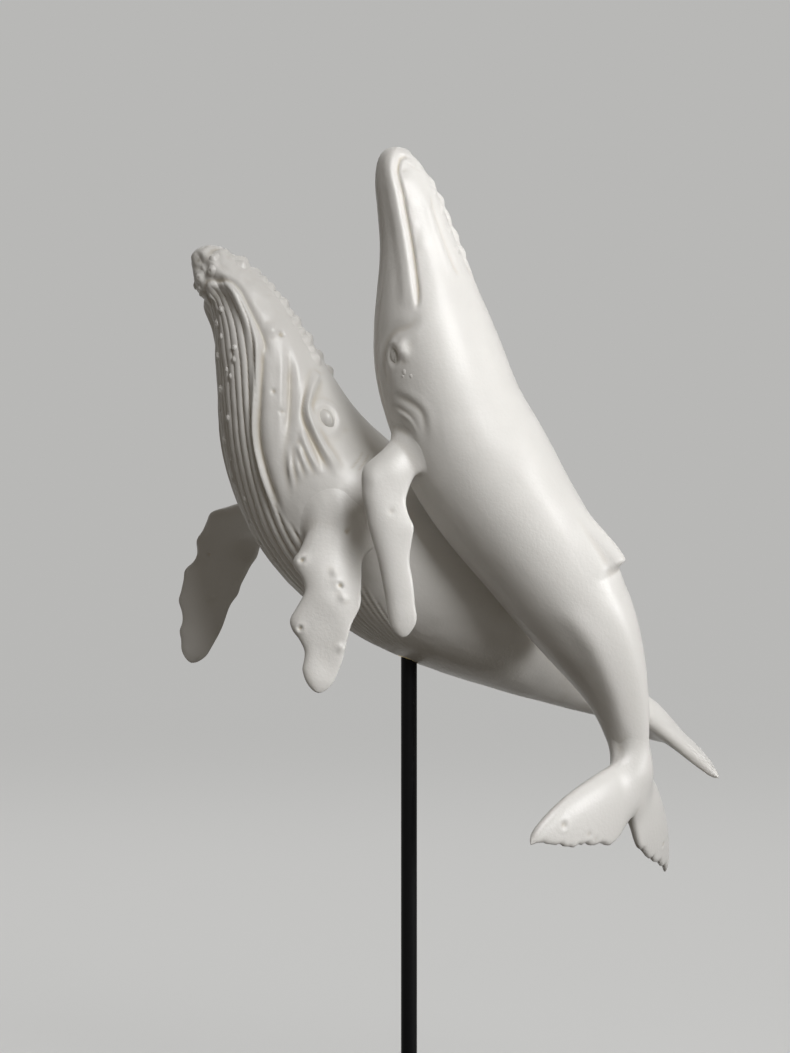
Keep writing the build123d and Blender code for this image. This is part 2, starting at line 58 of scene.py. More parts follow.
# Forms of the two whales: lengths in millimetres, tables in shares of them, as the casts are built.
# A snout has a share that it rounds off over, how square it is and how far it stands past the spine.
# The lean shifts the nose towards the back, out to a share. Crowding draws mesh columns to the belly.
# Fine rows have the share that they reach to and the share of all rows that they take.
FORMS = {
    "mother": {
        "length": 300.0,
        "half_width": 33.0,
        "half_depth": 33.0,
        "spine_shares": (
            (-0.260, -0.030, 0.383), (-0.193, -0.027, 0.286), (-0.152, -0.023, 0.172),
            (-0.089, -0.013, 0.069), (0.000, 0.000, 0.000), (0.117, 0.030, -0.069),
            (0.232, 0.075, -0.148), (0.298, 0.098, -0.197),
        ),
        "ring_shares": (
            (0.00, 0.12, 0.10), (0.02, 0.26, 0.23), (0.06, 0.40, 0.36), (0.14, 0.56, 0.48),
            (0.22, 0.69, 0.635), (0.30, 0.81, 0.785), (0.40, 0.95, 0.945), (0.50, 1.00, 1.00),
            (0.60, 0.98, 0.98), (0.70, 0.84, 0.87), (0.80, 0.60, 0.68), (0.88, 0.38, 0.48),
            (0.95, 0.22, 0.28), (1.00, 0.15, 0.16),
        ),
        "back_shares": ((0.73, 0.53, 0.43), (0.60, -0.05, 0.80)),
        "snout": (0.060, 2.5, 2.2),
        "lean": (0.0, 0.10),
        "crowding": 0.42,
        "fine_rows": (0.63, 0.76),
    },
    "calf": {
        "length": 260.0,
        "half_width": 25.5,
        "half_depth": 26.0,
        "spine_shares": (
            (-0.196, 0.002, 0.528), (-0.154, -0.002, 0.408), (-0.122, -0.010, 0.243),
            (-0.063, -0.008, 0.097), (0.000, 0.000, 0.000), (0.088, 0.010, -0.135),
            (0.132, 0.017, -0.237), (0.150, 0.023, -0.328),
        ),
        "ring_shares": (
            (0.00, 0.14, 0.12), (0.02, 0.30, 0.27), (0.06, 0.44, 0.41), (0.135, 0.55, 0.53),
            (0.23, 0.74, 0.75), (0.315, 0.89, 0.91), (0.40, 0.96, 0.955), (0.48, 1.00, 1.00),
            (0.55, 0.97, 0.965), (0.66, 0.85, 0.865), (0.78, 0.66, 0.73), (0.85, 0.46, 0.56),
            (0.90, 0.33, 0.43), (0.95, 0.24, 0.32), (1.00, 0.20, 0.22),
        ),
        "back_shares": ((0.81, -0.47, 0.35), (0.79, -0.52, 0.13)),
        "snout": (0.062, 2.5, 2.2),
        "lean": (2.4, 0.20),
        "crowding": 0.0,
        "fine_rows": (0.48, 0.62),
    },
}
BELLY_HEIGHT = 190.0
OVER_ROD_SHARE = 1.05
MEETING_MOTHER_SHARE = 0.655
MEETING_CALF_SHARE = 0.605
MEETING_DIRECTION_SHARES = (0.42, -0.80, 0.43)
MEETING_BITE = 1.2

# Mesh fineness
BODY_ROWS = 318
BODY_COLUMNS = 304
NOSE_ROWS = 26
NOSE_END_SHARE = 0.03
TAIL_ROUND = 6.0
TAIL_ROWS = 8
CURVE_STEPS = 2000
SLOPE_STEP = 0.01
HOLLOW_ROUNDS = 14
HOLLOW_DEPTH = 0.45


def spline(knots, values, at):
    """A natural cubic curve through rows of values at rising knots, read at the given places."""
    knots = np.asarray(knots, float)
    values = np.asarray(values, float)
    count = len(knots)
    gap = np.diff(knots)
    slope = np.diff(values, axis=0) / gap[:, None]
    system = np.eye(count)
    right = np.zeros_like(values)
    for row in range(1, count - 1):
        system[row, row - 1 : row + 2] = gap[row - 1], 2 * (gap[row - 1] + gap[row]), gap[row]
        right[row] = 6 * (slope[row] - slope[row - 1])
    bend = np.linalg.solve(system, right)
    at = np.clip(np.asarray(at, float), knots[0], knots[-1])
    span = np.clip(np.searchsorted(knots, at, side="right") - 1, 0, count - 2)
    step = (at - knots[span])[:, None]
    wide = gap[span][:, None]
    tilt = slope[span] - wide * (2 * bend[span] + bend[span + 1]) / 6
    change = (bend[span + 1] - bend[span]) / (6 * wide)
    return values[span] + step * tilt + step**2 * bend[span] / 2 + step**3 * change


def unit(vectors):
    """Vectors at unit length."""
    vectors = np.asarray(vectors, float)
    return vectors / np.maximum(np.linalg.norm(vectors, axis=-1, keepdims=True), 1e-12)


def square_to(direction, axis):
    """The part of a direction that lies square to an axis, at unit length."""
    direction = np.asarray(direction, float)
    return unit(direction - axis * (direction * axis).sum(-1, keepdims=True))


def rise(low, high, x):
    """0 below low, 1 above high, with a soft passage between."""
    part = np.clip((x - low) / (high - low), 0, 1)
    return part * part * (3 - 2 * part)


def swell(x, width):
    """A round hump of height 1 about zero."""
    return np.exp(-((x / width) ** 2))


def hump(x):
    """A round hump of height 1 about zero that runs out flat at one on either side."""
    return np.clip(1 - x**2, 0, None) ** 3


def rough(points, size, seed=0.0):
    """Soft noise from -1 to 1 over points in millimetres, with lumps of the given size."""
    flat = np.asarray(points, float).reshape(-1, 3) / size + seed
    return np.array([noise(p) for p in flat]).reshape(np.shape(points)[:-1])


class Path:
    """A smooth curve through points, read by its share of the length."""

    def __init__(self, points):
        points = np.asarray(points, float)
        knots = np.concatenate([[0], np.cumsum(np.linalg.norm(np.diff(points, axis=0), axis=1))])
        self.fine = spline(knots, points, np.linspace(0, knots[-1], CURVE_STEPS))
        travel = np.concatenate([[0], np.cumsum(np.linalg.norm(np.diff(self.fine, axis=0), axis=1))])
        self.length = travel[-1]
        self.share = travel / self.length
        self.heading = unit(np.gradient(self.fine, axis=0))

    def at(self, share):
        """Points at shares of the length, straight on past either end."""
        share = np.asarray(share, float)
        inside = np.clip(share, 0, 1)
        point = np.stack([np.interp(inside, self.share, self.fine[:, axis]) for axis in range(3)], -1)
        return point + self.along(inside) * ((share - inside) * self.length)[..., None]

    def along(self, share):
        """Unit headings at shares of the length."""
        inside = np.clip(np.asarray(share, float), 0, 1)
        return unit(np.stack([np.interp(inside, self.share, self.heading[:, axis]) for axis in range(3)], -1))


class Whale:
    """A whale's smooth form, read by share along the spine and angle up from its left side."""

    def __init__(self, name, start):
        form = FORMS[name]
        self.name = name
        self.half_width = form["half_width"]
        self.half_depth = form["half_depth"]
        self.rings = np.array(form["ring_shares"])
        self.snout = form["snout"]
        self.lean = form["lean"]
        self.crowding = form["crowding"]
        self.fine_rows = form["fine_rows"]
        self.nose_back, self.tail_back = np.array(form["back_shares"])
        self.spine = Path(np.asarray(start) + np.array(form["spine_shares"]) * form["length"])
        self.tip_share = -self.snout[2] / self.spine.length

    def axes(self, share):
        """Unit directions to the left, the back and the nose."""
        inside = np.clip(np.asarray(share, float), 0, 1)[..., None]
        forward = -self.spine.along(share)
        left = unit(np.cross(self.nose_back * (1 - inside) + self.tail_back * inside, forward))
        return left, np.cross(forward, left), forward

    def half_sizes(self, share):
        """Half width and half depth."""
        share = np.asarray(share, float)
        sizes = spline(self.rings[:, 0], self.rings[:, 1:], share.ravel()).reshape(*share.shape, 2)
        return sizes[..., 0] * self.half_width, sizes[..., 1] * self.half_depth

    def skin(self, share, degrees):
        """Points on the smooth skin. Shares below zero round off the nose, and shares above one the tail."""
        share, turn = np.broadcast_arrays(np.asarray(share, float), np.radians(degrees))
        reach, power, _ = self.snout
        shift, end = self.lean
        ahead = np.clip((reach - share) / (reach - self.tip_share), 0, 1)
        past = np.clip((share - 1) * self.spine.length / TAIL_ROUND, 0, 1)
        shrink = (1 - ahead**power) ** (1 / power) * np.sqrt(1 - past**2)
        left, back, forward = self.axes(np.clip(share, 0, 1))
        width, depth = self.half_sizes(np.clip(share, reach, 1))
        before = np.clip(reach - share, 0, None)
        wide, deep = self.half_sizes(np.array([reach, reach + SLOPE_STEP]))
        width = width - before * (wide[1] - wide[0]) / SLOPE_STEP
        depth = depth - before * (deep[1] - deep[0]) / SLOPE_STEP
        point = self.spine.at(share) + back * (shift * (1 - rise(self.tip_share, end, share)))[..., None]
        point = point + left * (width * shrink * np.cos(turn))[..., None]
        return point + back * (depth * shrink * np.sin(turn))[..., None]

    def reach(self, share, direction):
        """How far the skin is from the spine in a direction."""
        left, back, _ = self.axes(share)
        width, depth = self.half_sizes(np.asarray(share))
        x, y = direction @ left, direction @ back
        return math.hypot(x, y) / math.hypot(x / width, y / depth)


def both_whales():
    """The mother's form over the rod and the calf's against her side."""
    mother = Whale("mother", (0, 0, BELLY_HEIGHT + FORMS["mother"]["half_depth"] * OVER_ROD_SHARE))
    meeting = unit(MEETING_DIRECTION_SHARES)
    middle = mother.spine.at(MEETING_MOTHER_SHARE)
    calf_reach = Whale("calf", middle).reach(MEETING_CALF_SHARE, meeting)
    away = mother.reach(MEETING_MOTHER_SHARE, meeting) + calf_reach - MEETING_BITE
    return {"mother": mother, "calf": Whale("calf", middle + meeting * away)}


WHALES = both_whales()

# The mother's head: places are share along the spine and angle up from the left side
MOTHER_LIP = (
    (0.045, -90), (0.039, -70), (0.039, -52), (0.046, -37), (0.057, -22), (0.076, -16), (0.097, -19),
    (0.126, -22), (0.159, -23), (0.190, -26),
)
CHIN_SHARES = (0.038, 0.054, 0.060, 0.160)
CHIN_DEGREES = (-48, -18)
MOTHER_JAW_FOLD = (
    (0.150, -23), (0.180, -31), (0.211, -38), (0.250, -45), (0.291, -51), (0.347, -52), (0.389, -55),
)
MOTHER_JAW_BAND = ((0.188, -23), (0.243, -32), (0.293, -39), (0.344, -43), (0.387, -48))
MOTHER_JAW_GROOVE = (
    (0.165, 4), (0.190, -1), (0.211, -6), (0.231, -11), (0.270, -20), (0.305, -28), (0.330, -33),
)
MOTHER_FAN = (
    ((0.300, -26), (0.341, -33), (0.370, -37), (0.400, -40)),
    ((0.306, -23), (0.351, -28), (0.387, -31), (0.404, -33)),
    ((0.308, -20), (0.325, -21), (0.357, -22), (0.396, -24)),
    ((0.290, -14), (0.310, -15), (0.345, -15), (0.372, -15), (0.396, -17)),
)
MOTHER_CHEEK = (
    (0.222, 26), (0.230, 19), (0.246, 7), (0.264, -2), (0.286, -4), (0.326, -4), (0.358, -3),
    (0.395, -8),
)
MOTHER_CHEEK_ROLL = ((0.232, 10), (0.250, 0), (0.274, -8), (0.300, -9), (0.335, -8), (0.372, -7))
MOTHER_PLEAT_TOP = (
    (0.00, -52), (0.05, -24), (0.10, -23), (0.165, -29), (0.211, -41), (0.250, -48), (0.291, -54),
    (0.347, -55), (0.389, -54), (0.430, -44), (0.480, -40), (0.530, -44), (0.560, -46), (0.595, -58),
    (0.615, -68), (0.640, -82),
)
PLEAT_SPACING_SHARES = (
    (0.00, 0.80), (0.12, 0.95), (0.35, 1.00), (0.44, 0.98), (0.50, 0.78), (0.55, 0.60), (0.62, 0.36),
)
PLEAT_DEPTH_SHARES = (
    (0.00, 0.55), (0.14, 0.70), (0.28, 1.00), (0.45, 1.00), (0.52, 0.75), (0.58, 0.58), (0.63, 0.35),
)
MOTHER_EYE = (0.295, 10.5)
MOTHER_BROW = ((0.225, 32), (0.258, 27), (0.295, 26), (0.330, 24))
MOTHER_SCARS = (
    (0.160, 1.0, 1.0, -0.9), (0.150, -8.0, 2.2, 0.9), (0.232, -28.0, 0.8, -0.6),
    (0.262, -25.0, 0.9, -0.6),
)
MOTHER_NECK_CREASES = (
    ((0.372, 24), (0.380, 14), (0.384, 6)),
    ((0.382, 27), (0.390, 17), (0.394, 9)),
    ((0.390, 30), (0.399, 22), (0.404, 14)),
)

# The calf's head
CALF_LIP = (
    (0.002, 90), (0.001, 66), (0.002, 44), (0.008, 24), (0.029, 11), (0.076, 6), (0.124, 5), (0.174, 7),
    (0.216, 7), (0.241, 0),
)
CALF_MOUTH = (
    (0.017, 90), (0.015, 70), (0.014, 50), (0.022, 36), (0.037, 26), (0.069, 23), (0.104, 20),
    (0.172, 20), (0.224, 19), (0.248, 15),
)
CALF_EYE_RING = (
    (0.244, 17), (0.256, 13), (0.266, 5), (0.268, -9), (0.277, -22), (0.292, -29), (0.312, -31),
    (0.332, -29), (0.352, -25),
)
CALF_EYE = (0.300, -15.0)
CALF_BROW = ((0.279, -6), (0.290, -4), (0.301, -3), (0.314, -6))
CALF_NECK_FOLD = ((0.346, -30), (0.352, -20), (0.362, -10), (0.374, -3), (0.388, 0), (0.408, -3), (0.432, -8))
CALF_NECK_CREASE = ((0.360, -32), (0.367, -23), (0.379, -14), (0.399, -9), (0.419, -8))
CALF_NECK_RIDGE = ((0.366, -32), (0.377, -21), (0.392, -13), (0.418, -11))
CALF_ARM_FOLD = ((0.380, -46), (0.386, -38), (0.397, -24), (0.412, -15))
CALF_BLOW_GROOVE = ((0.074, 82), (0.092, 74), (0.124, 71), (0.162, 72), (0.193, 73), (0.208, 76))
CALF_TAIL_RIDGE = ((0.691, 9), (0.768, 24), (0.845, 21), (0.925, 14), (0.975, 16))
CALF_SCARS = ((0.031, 38, 2.6, -0.6), (0.085, 33, 2.0, 0.30), (0.118, 29, 1.6, 0.25), (0.150, 35, 2.2, 0.30))
CALF_PLEAT_TOP = ((0.00, -50), (0.10, -30), (0.25, -30), (0.40, -42), (0.50, -60), (0.58, -80))

NOSE_CALM_SHARE = 0.011
NO_FADE = 1e-6
STREAK_SHARE = 0.3

# The hollow round an eye, in shares of the eye's size, and the lids that are heavier above and ahead
EYE_REACH = 4
SEAT_SPREAD = 1.25
LID_RING = 1.2
LID_SPREAD = 0.42
LID_CORE = 0.3
LID_WEIGHT = 0.45
LID_WAY = (0.8, -0.6)

# Throat grooves: where they start and run out, how they waver and how uneven they are
PLEAT_START_SHARE = 0.03
PLEAT_FADE_SHARE = 0.05
PLEAT_EDGE_DEGREES = 3
PLEAT_STRETCH = (1, 1, 0.45)
PLEAT_WAVER = 0.5
PLEAT_WAVER_SIZE = 26
PLEAT_LEVEL = 0.72
PLEAT_UNEVEN = (0.75, 0.5)
PLEAT_UNEVEN_PITCH = (37, 9)
PLEAT_UNEVEN_SIZE = 3
CALF_PLEAT_SPACING_SHARE = 1.15
CALF_PLEAT_DEPTH_SHARE = 0.35

# The mother's sunk chin, and the knobbles of her snout and forehead: size, seed and share of each
CHIN_SINK = 4.2
CHIN_FRONT_SINK = 1.6
KNOBBLES = ((5.2, 7.7, 1.0), (2.6, 1.3, 0.45))
SNOUT_KNOBBLE_HEIGHT = 0.9
SNOUT_SHARES = (0.012, 0.055)
FOREHEAD_KNOBBLE_HEIGHT = 0.4
FOREHEAD_SHARES = (0.05, 0.20)
FOREHEAD_DEGREES = (-20, 5)

LINE_STEPS = 40
LINE_MARGIN_SHARE = 0.05


class Hide:
    """A cast's skin as rows and columns of points, carved by raising and lowering them."""

    def __init__(self, whale):
        self.whale = whale
        tip = whale.tip_share
        quarter = np.linspace(0, math.pi / 2, NOSE_ROWS, endpoint=False)
        nose = tip + (NOSE_END_SHARE - tip) * (1 - np.cos(quarter))
        fine_end, row_share = whale.fine_rows
        fine = int(BODY_ROWS * row_share)
        head = np.linspace(NOSE_END_SHARE, fine_end, fine, endpoint=False)
        tail = np.linspace(fine_end, 1, BODY_ROWS - NOSE_ROWS - TAIL_ROWS - fine)
        cap = 1 + np.sin(np.linspace(0, math.pi / 2, TAIL_ROWS + 1)[1:]) * TAIL_ROUND / whale.spine.length
        self.share = np.concatenate([nose, head, tail, cap])
        turn = np.linspace(0, 2 * math.pi, BODY_COLUMNS, endpoint=False)
        self.degrees = np.degrees(turn - whale.crowding * np.sin(turn)) - 90
        self.rows, self.columns = np.meshgrid(self.share, self.degrees, indexing="ij")
        self.flank = np.where(self.columns > 90, 180 - self.columns, self.columns)
        self.smooth = whale.skin(self.rows, self.columns)
        self.out = outward(self.smooth)
        self.lift = np.zeros(self.rows.shape)

    def girth(self):
        """Distance of each point from the belly's middle, round its own ring."""
        step = np.linalg.norm(np.diff(self.smooth, axis=1, append=self.smooth[:, :1]), axis=-1)
        whole = step.sum(1, keepdims=True)
        run = np.cumsum(step, axis=1) - step
        return np.minimum(run, whole - run)

    def off_line(self, places, mirrored):
        """Rows near a line on the skin, with each point's distance to its back side and share along it."""
        places = np.array(places, float)
        if mirrored:
            places[:, 1] = 180 - places[:, 1]
        knots = np.arange(len(places))
        fine = spline(knots, places, np.linspace(0, knots[-1], LINE_STEPS))
        line = self.whale.skin(fine[:, 0], fine[:, 1])
        low = fine[:, 0].min() - LINE_MARGIN_SHARE
        high = fine[:, 0].max() + LINE_MARGIN_SHARE
        near = (self.share > low) & (self.share < high)
        points = self.smooth[near]
        best = np.full(points.shape[:2], np.inf)
        side = np.zeros(points.shape[:2])
        part = np.zeros(points.shape[:2])
        for count, (a, b) in enumerate(zip(line, line[1:])):
            run = b - a
            along = np.clip(((points - a) @ run) / (run @ run), 0, 1)
            gap = points - (a + along[..., None] * run)
            distance = np.linalg.norm(gap, axis=-1)
            closer = distance < best
            best = np.where(closer, distance, best)
            side = np.where(closer, np.sign((np.cross(self.out[near], run) * gap).sum(-1)), side)
            part = np.where(closer, (count + along) / (LINE_STEPS - 1), part)
        turn = 1 if mirrored else -1
        return near, best * side * turn, part

    def fold(
        self, places, depth=0.0, width=1.0, lip=0.0, lip_place=0.0, lip_width=1.0,
        fade=0.15, shift=0.0, start=None,
    ):
        """Presses a crease along a line on each flank, or shifted off it, with a raised lip beside it."""
        pressed = np.zeros(self.lift.shape)
        for mirrored in (False, True):
            near, off, part = self.off_line(places, mirrored)
            off = off - shift
            ends = rise(0, fade if start is None else start, part) * (1 - rise(1 - fade, 1, part))
            one = ends * (lip * swell(off - lip_place, lip_width) - depth * swell(off, width))
            pressed[near] = np.where(np.abs(one) > np.abs(pressed[near]), one, pressed[near])
        self.lift += pressed

    def spot(self, place, mirrored):
        """Offsets of all points from a place on the skin: to the tail, to the back, and straight away."""
        share, degrees = place
        turned = 180 - degrees if mirrored else degrees
        centre = self.whale.skin(share, turned)
        _, _, forward = self.whale.axes(np.asarray(share))
        row = np.abs(self.share - share).argmin()
        column = np.abs((self.degrees - turned + 180) % 360 - 180).argmin()
        up = square_to(np.cross(self.out[row, column], forward), self.out[row, column])
        up = up if mirrored else -up
        gap = self.smooth - centre
        return -gap @ forward, gap @ up, np.linalg.norm(gap, axis=-1)

    def mound(self, place, radius, height):
        """Raises a soft round mound, or with a negative height sinks a dish, on each flank."""
        for mirrored in (False, True):
            _, _, away = self.spot(place, mirrored)
            self.lift += height * swell(away, radius)

    def eye_seat(self, place, long, wide, sink, lid):
        """Sinks the hollow round an eye and raises its lids, on each flank."""
        for mirrored in (False, True):
            along, up, away = self.spot(place, mirrored)
            near = away < EYE_REACH * long
            oval = np.hypot(along / long, up / wide)
            way = LID_WAY[0] * up / wide + LID_WAY[1] * along / long
            heavy = 1 + LID_WEIGHT * way / np.maximum(oval, LID_CORE)
            raised = lid * heavy * swell(oval - LID_RING, LID_SPREAD) - sink * swell(oval, SEAT_SPREAD)
            self.lift += np.where(near, raised, 0)

    def pleats(self, top, spacing, depth, seed):
        """Presses rows of throat grooves that keep their distance from the belly's middle."""
        top = np.array(top, float)
        limit = np.interp(self.rows, top[:, 0], top[:, 1])
        waver = rough(self.smooth * np.array(PLEAT_STRETCH), PLEAT_WAVER_SIZE, seed) * PLEAT_WAVER
        narrowing = np.interp(self.rows, *np.transpose(PLEAT_SPACING_SHARES))
        across = self.girth() / (spacing * narrowing) + waver
        ridge = np.sqrt(np.abs(np.sin(math.pi * across)))
        number, pitch = PLEAT_UNEVEN_PITCH
        places = np.stack([across // 1 * number, self.rows * pitch, across * 0], -1)
        uneven = PLEAT_UNEVEN[0] + PLEAT_UNEVEN[1] * rough(places, PLEAT_UNEVEN_SIZE, seed)
        uneven *= np.interp(self.rows, *np.transpose(PLEAT_DEPTH_SHARES))
        held = 1 - rise(-PLEAT_EDGE_DEGREES, PLEAT_EDGE_DEGREES, self.flank - limit)
        held *= rise(PLEAT_START_SHARE, PLEAT_START_SHARE + PLEAT_FADE_SHARE, self.rows)
        held *= 1 - rise(top[-1, 0] - PLEAT_FADE_SHARE, top[-1, 0], self.rows)
        self.lift += held * uneven * depth * (ridge - PLEAT_LEVEL)

    def calm(self, place, inner, outer):
        """Smooths the carving away round a place on each flank."""
        for mirrored in (False, True):
            _, _, away = self.spot(place, mirrored)
            self.lift *= rise(inner, outer, away)

    def drawn_out(self):
        """Places for noise that runs in streaks along the body."""
        along = self.rows * self.whale.spine.length * STREAK_SHARE
        return np.stack([along, self.girth(), self.columns * 0], -1)

    def weather(self, broad, fine, streak):
        """Adds broad and fine unevenness and faint streaks: height, size of lumps and seed of each."""
        places = (self.smooth, self.smooth, self.drawn_out())
        for where, (height, size, seed) in zip(places, (broad, fine, streak)):
            self.lift += height * rough(where, size, seed)

    def keel(self, first, full, height, degrees):
        """Raises a keel on the back of the tail stock, from its first share to where it is full."""
        self.lift += height * rise(first, full, self.rows) * swell(self.flank - 90, degrees)

    def skin(self):
        """The carved points, left smooth at the very tip of the nose."""
        tip = self.whale.tip_share
        held = self.lift * rise(tip, tip + NOSE_CALM_SHARE, self.rows)
        return self.smooth + self.out * held[..., None]


def outward(points):
    """Outward unit directions of a grid whose rows run along and whose columns go round."""
    along = np.gradient(points, axis=0)
    round_ = np.roll(points, -1, axis=1) - np.roll(points, 1, axis=1)
    way = np.cross(round_, along)
    middle = points.mean(axis=1, keepdims=True)
    inward = (way * (points - middle)).sum() < 0
    return unit(-way if inward else way)


def hollowness(mesh):
    """How far each point of a mesh lies in a hollow, from 0 to 1, by drawing the mesh smooth."""
    points, ways = np.empty((2, len(mesh.vertices) * 3), np.float32)
    mesh.vertices.foreach_get("co", points)
    mesh.vertex_normals.foreach_get("vector", ways)
    points = points.reshape(-1, 3) / MM
    edges = np.empty(len(mesh.edges) * 2, np.int32)
    mesh.edges.foreach_get("vertices", edges)
    ends = np.concatenate([edges.reshape(-1, 2), edges.reshape(-1, 2)[:, ::-1]])
    count = np.bincount(ends[:, 0], minlength=len(points))
    smooth = points
    for _ in range(HOLLOW_ROUNDS):
        around = [np.bincount(ends[:, 0], smooth[ends[:, 1], axis], len(points)) / count for axis in range(3)]
        smooth = (smooth + np.stack(around, -1)) / 2
    return np.clip(((smooth - points) * ways.reshape(-1, 3)).sum(-1) / HOLLOW_DEPTH, 0, 1).astype(np.float32)


def grid_object(name, grids, node, material):
    """A closed piece from grids in millimetres, each with its first and last rows drawn to points."""
    points, faces = [], []
    for grid in grids:
        rows, columns = grid.shape[:2]
        base = sum(map(len, points))
        ring = base + np.arange((rows - 2) * columns).reshape(rows - 2, columns)
        after = np.roll(ring, -1, axis=1)
        first = base + ring.size
        points += [grid[1:-1].reshape(-1, 3), grid[[0, -1]].mean(axis=1)]
        faces += np.stack([ring[:-1], after[:-1], after[1:], ring[1:]], -1).reshape(-1, 4).tolist()
        faces += [(first, b, a) for a, b in zip(ring[0].tolist(), after[0].tolist())]
        faces += [(first + 1, a, b) for a, b in zip(ring[-1].tolist(), after[-1].tolist())]
    return skin_object(name, np.concatenate(points), faces, node, material)


def skin_object(name, points, faces, node, material):
    """A piece from points in millimetres and faces, that rides on the figure and stands for its node."""
    mesh = bpy.data.meshes.new(name)
    mesh.from_pydata((points * MM).tolist(), [], faces)
    shape = bmesh.new()
    shape.from_mesh(mesh)
    bmesh.ops.recalc_face_normals(shape, faces=shape.faces)
    shape.to_mesh(mesh)
    shape.free()
    mesh.shade_smooth()
    # The hollow mask marks where shade is painted into the creases of the glaze
    mesh.attributes.new("hollow", "FLOAT", "POINT").data.foreach_set("value", hollowness(mesh))
    mesh.materials.append(material)
    piece = bpy.data.objects.new(name, mesh)
    bpy.context.scene.collection.objects.link(piece)
    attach(piece, FIGURE)
    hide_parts(node)
    return piece


def search_tree(name):
    """A search tree over a finished piece, in millimetres."""
    mesh = bpy.data.objects[name].data
    points = np.empty(len(mesh.vertices) * 3)
    mesh.vertices.foreach_get("co", points)
    faces = [tuple(polygon.vertices) for polygon in mesh.polygons]
    return BVHTree.FromPolygons((points.reshape(-1, 3) / MM).tolist(), faces)


def settle(tree, points):
    """Nearest places on a skin, their outward ways, and how high the points stand over it."""
    flat = np.asarray(points, float).reshape(-1, 3)
    found = [tree.find_nearest(Vector(p)) for p in flat]
    place = np.array([f[0] for f in found]).reshape(np.shape(points))
    way = np.array([f[1] for f in found]).reshape(np.shape(points))
    return place, way, ((points - place) * way).sum(-1)


def carved_mother(look):
    """The mother's skin: pleated throat, lipped jaw, folded cheeks and a knobbled snout."""
    hide = Hide(WHALES["mother"])
    hide.pleats(MOTHER_PLEAT_TOP, look.pleat_spacing / MM, look.pleat_depth / MM, seed=3.1)
    hide.fold(
        MOTHER_LIP, depth=1.2, width=1.3, lip=1.2, lip_place=2.6, lip_width=2.4, fade=0.12, start=NO_FADE
    )
    chin = 1 - rise(*CHIN_DEGREES, hide.flank)
    behind = rise(*CHIN_SHARES[:2], hide.rows)
    hide.lift -= CHIN_SINK * chin * behind * (1 - rise(*CHIN_SHARES[2:], hide.rows))
    hide.lift -= CHIN_FRONT_SINK * chin * (1 - behind)
    hide.fold(MOTHER_JAW_FOLD, depth=0.9, width=1.3, lip=1.5, lip_place=1.7, lip_width=1.2, fade=0.18)
    hide.fold(MOTHER_JAW_BAND, lip=0.9, lip_place=1.0, lip_width=3.4, fade=0.25)
    hide.fold(MOTHER_JAW_GROOVE, depth=1.7, width=2.0, lip=0.4, lip_place=3.2, lip_width=1.6, fade=0.48)
    for ridge in MOTHER_FAN:
        hide.fold(ridge, lip=1.5, lip_width=1.05, fade=0.35)
    hide.fold(MOTHER_CHEEK, lip=1.7, lip_width=1.8, fade=0.20)
    hide.fold(MOTHER_CHEEK_ROLL, depth=0.9, width=0.8, lip=0.9, lip_place=-1.5, fade=0.30)
    hide.fold(MOTHER_BROW, lip=0.6, lip_width=4.0)
    hide.mound(MOTHER_EYE, radius=6.0, height=2.0)
    hide.eye_seat(MOTHER_EYE, long=4.5, wide=3.6, sink=1.6, lid=0.70)
    for crease in MOTHER_NECK_CREASES:
        hide.fold(crease, depth=0.28, width=0.5, lip=0.15, lip_place=0.9, lip_width=0.6)
    for share, degrees, radius, height in MOTHER_SCARS:
        hide.mound((share, degrees), radius, height)
    seat_share, seat_angle = FLIPPER_SEATS["mother"]
    hide.calm((seat_share, -seat_angle), inner=8, outer=15)
    knobbles = sum(share * rough(hide.smooth, size, seed) for size, seed, share in KNOBBLES)
    hide.lift += SNOUT_KNOBBLE_HEIGHT * knobbles * (1 - rise(*SNOUT_SHARES, hide.rows))
    forehead = (1 - rise(*FOREHEAD_SHARES, hide.rows)) * rise(*FOREHEAD_DEGREES, hide.flank)
    hide.lift += FOREHEAD_KNOBBLE_HEIGHT * knobbles * forehead
    hide.weather(broad=(0.25, 17, 2.2), fine=(0.10, 5, 4.9), streak=(0.04, 2.4, 8.8))
    hide.keel(first=0.66, full=0.76, height=0.9, degrees=13)
    return hide


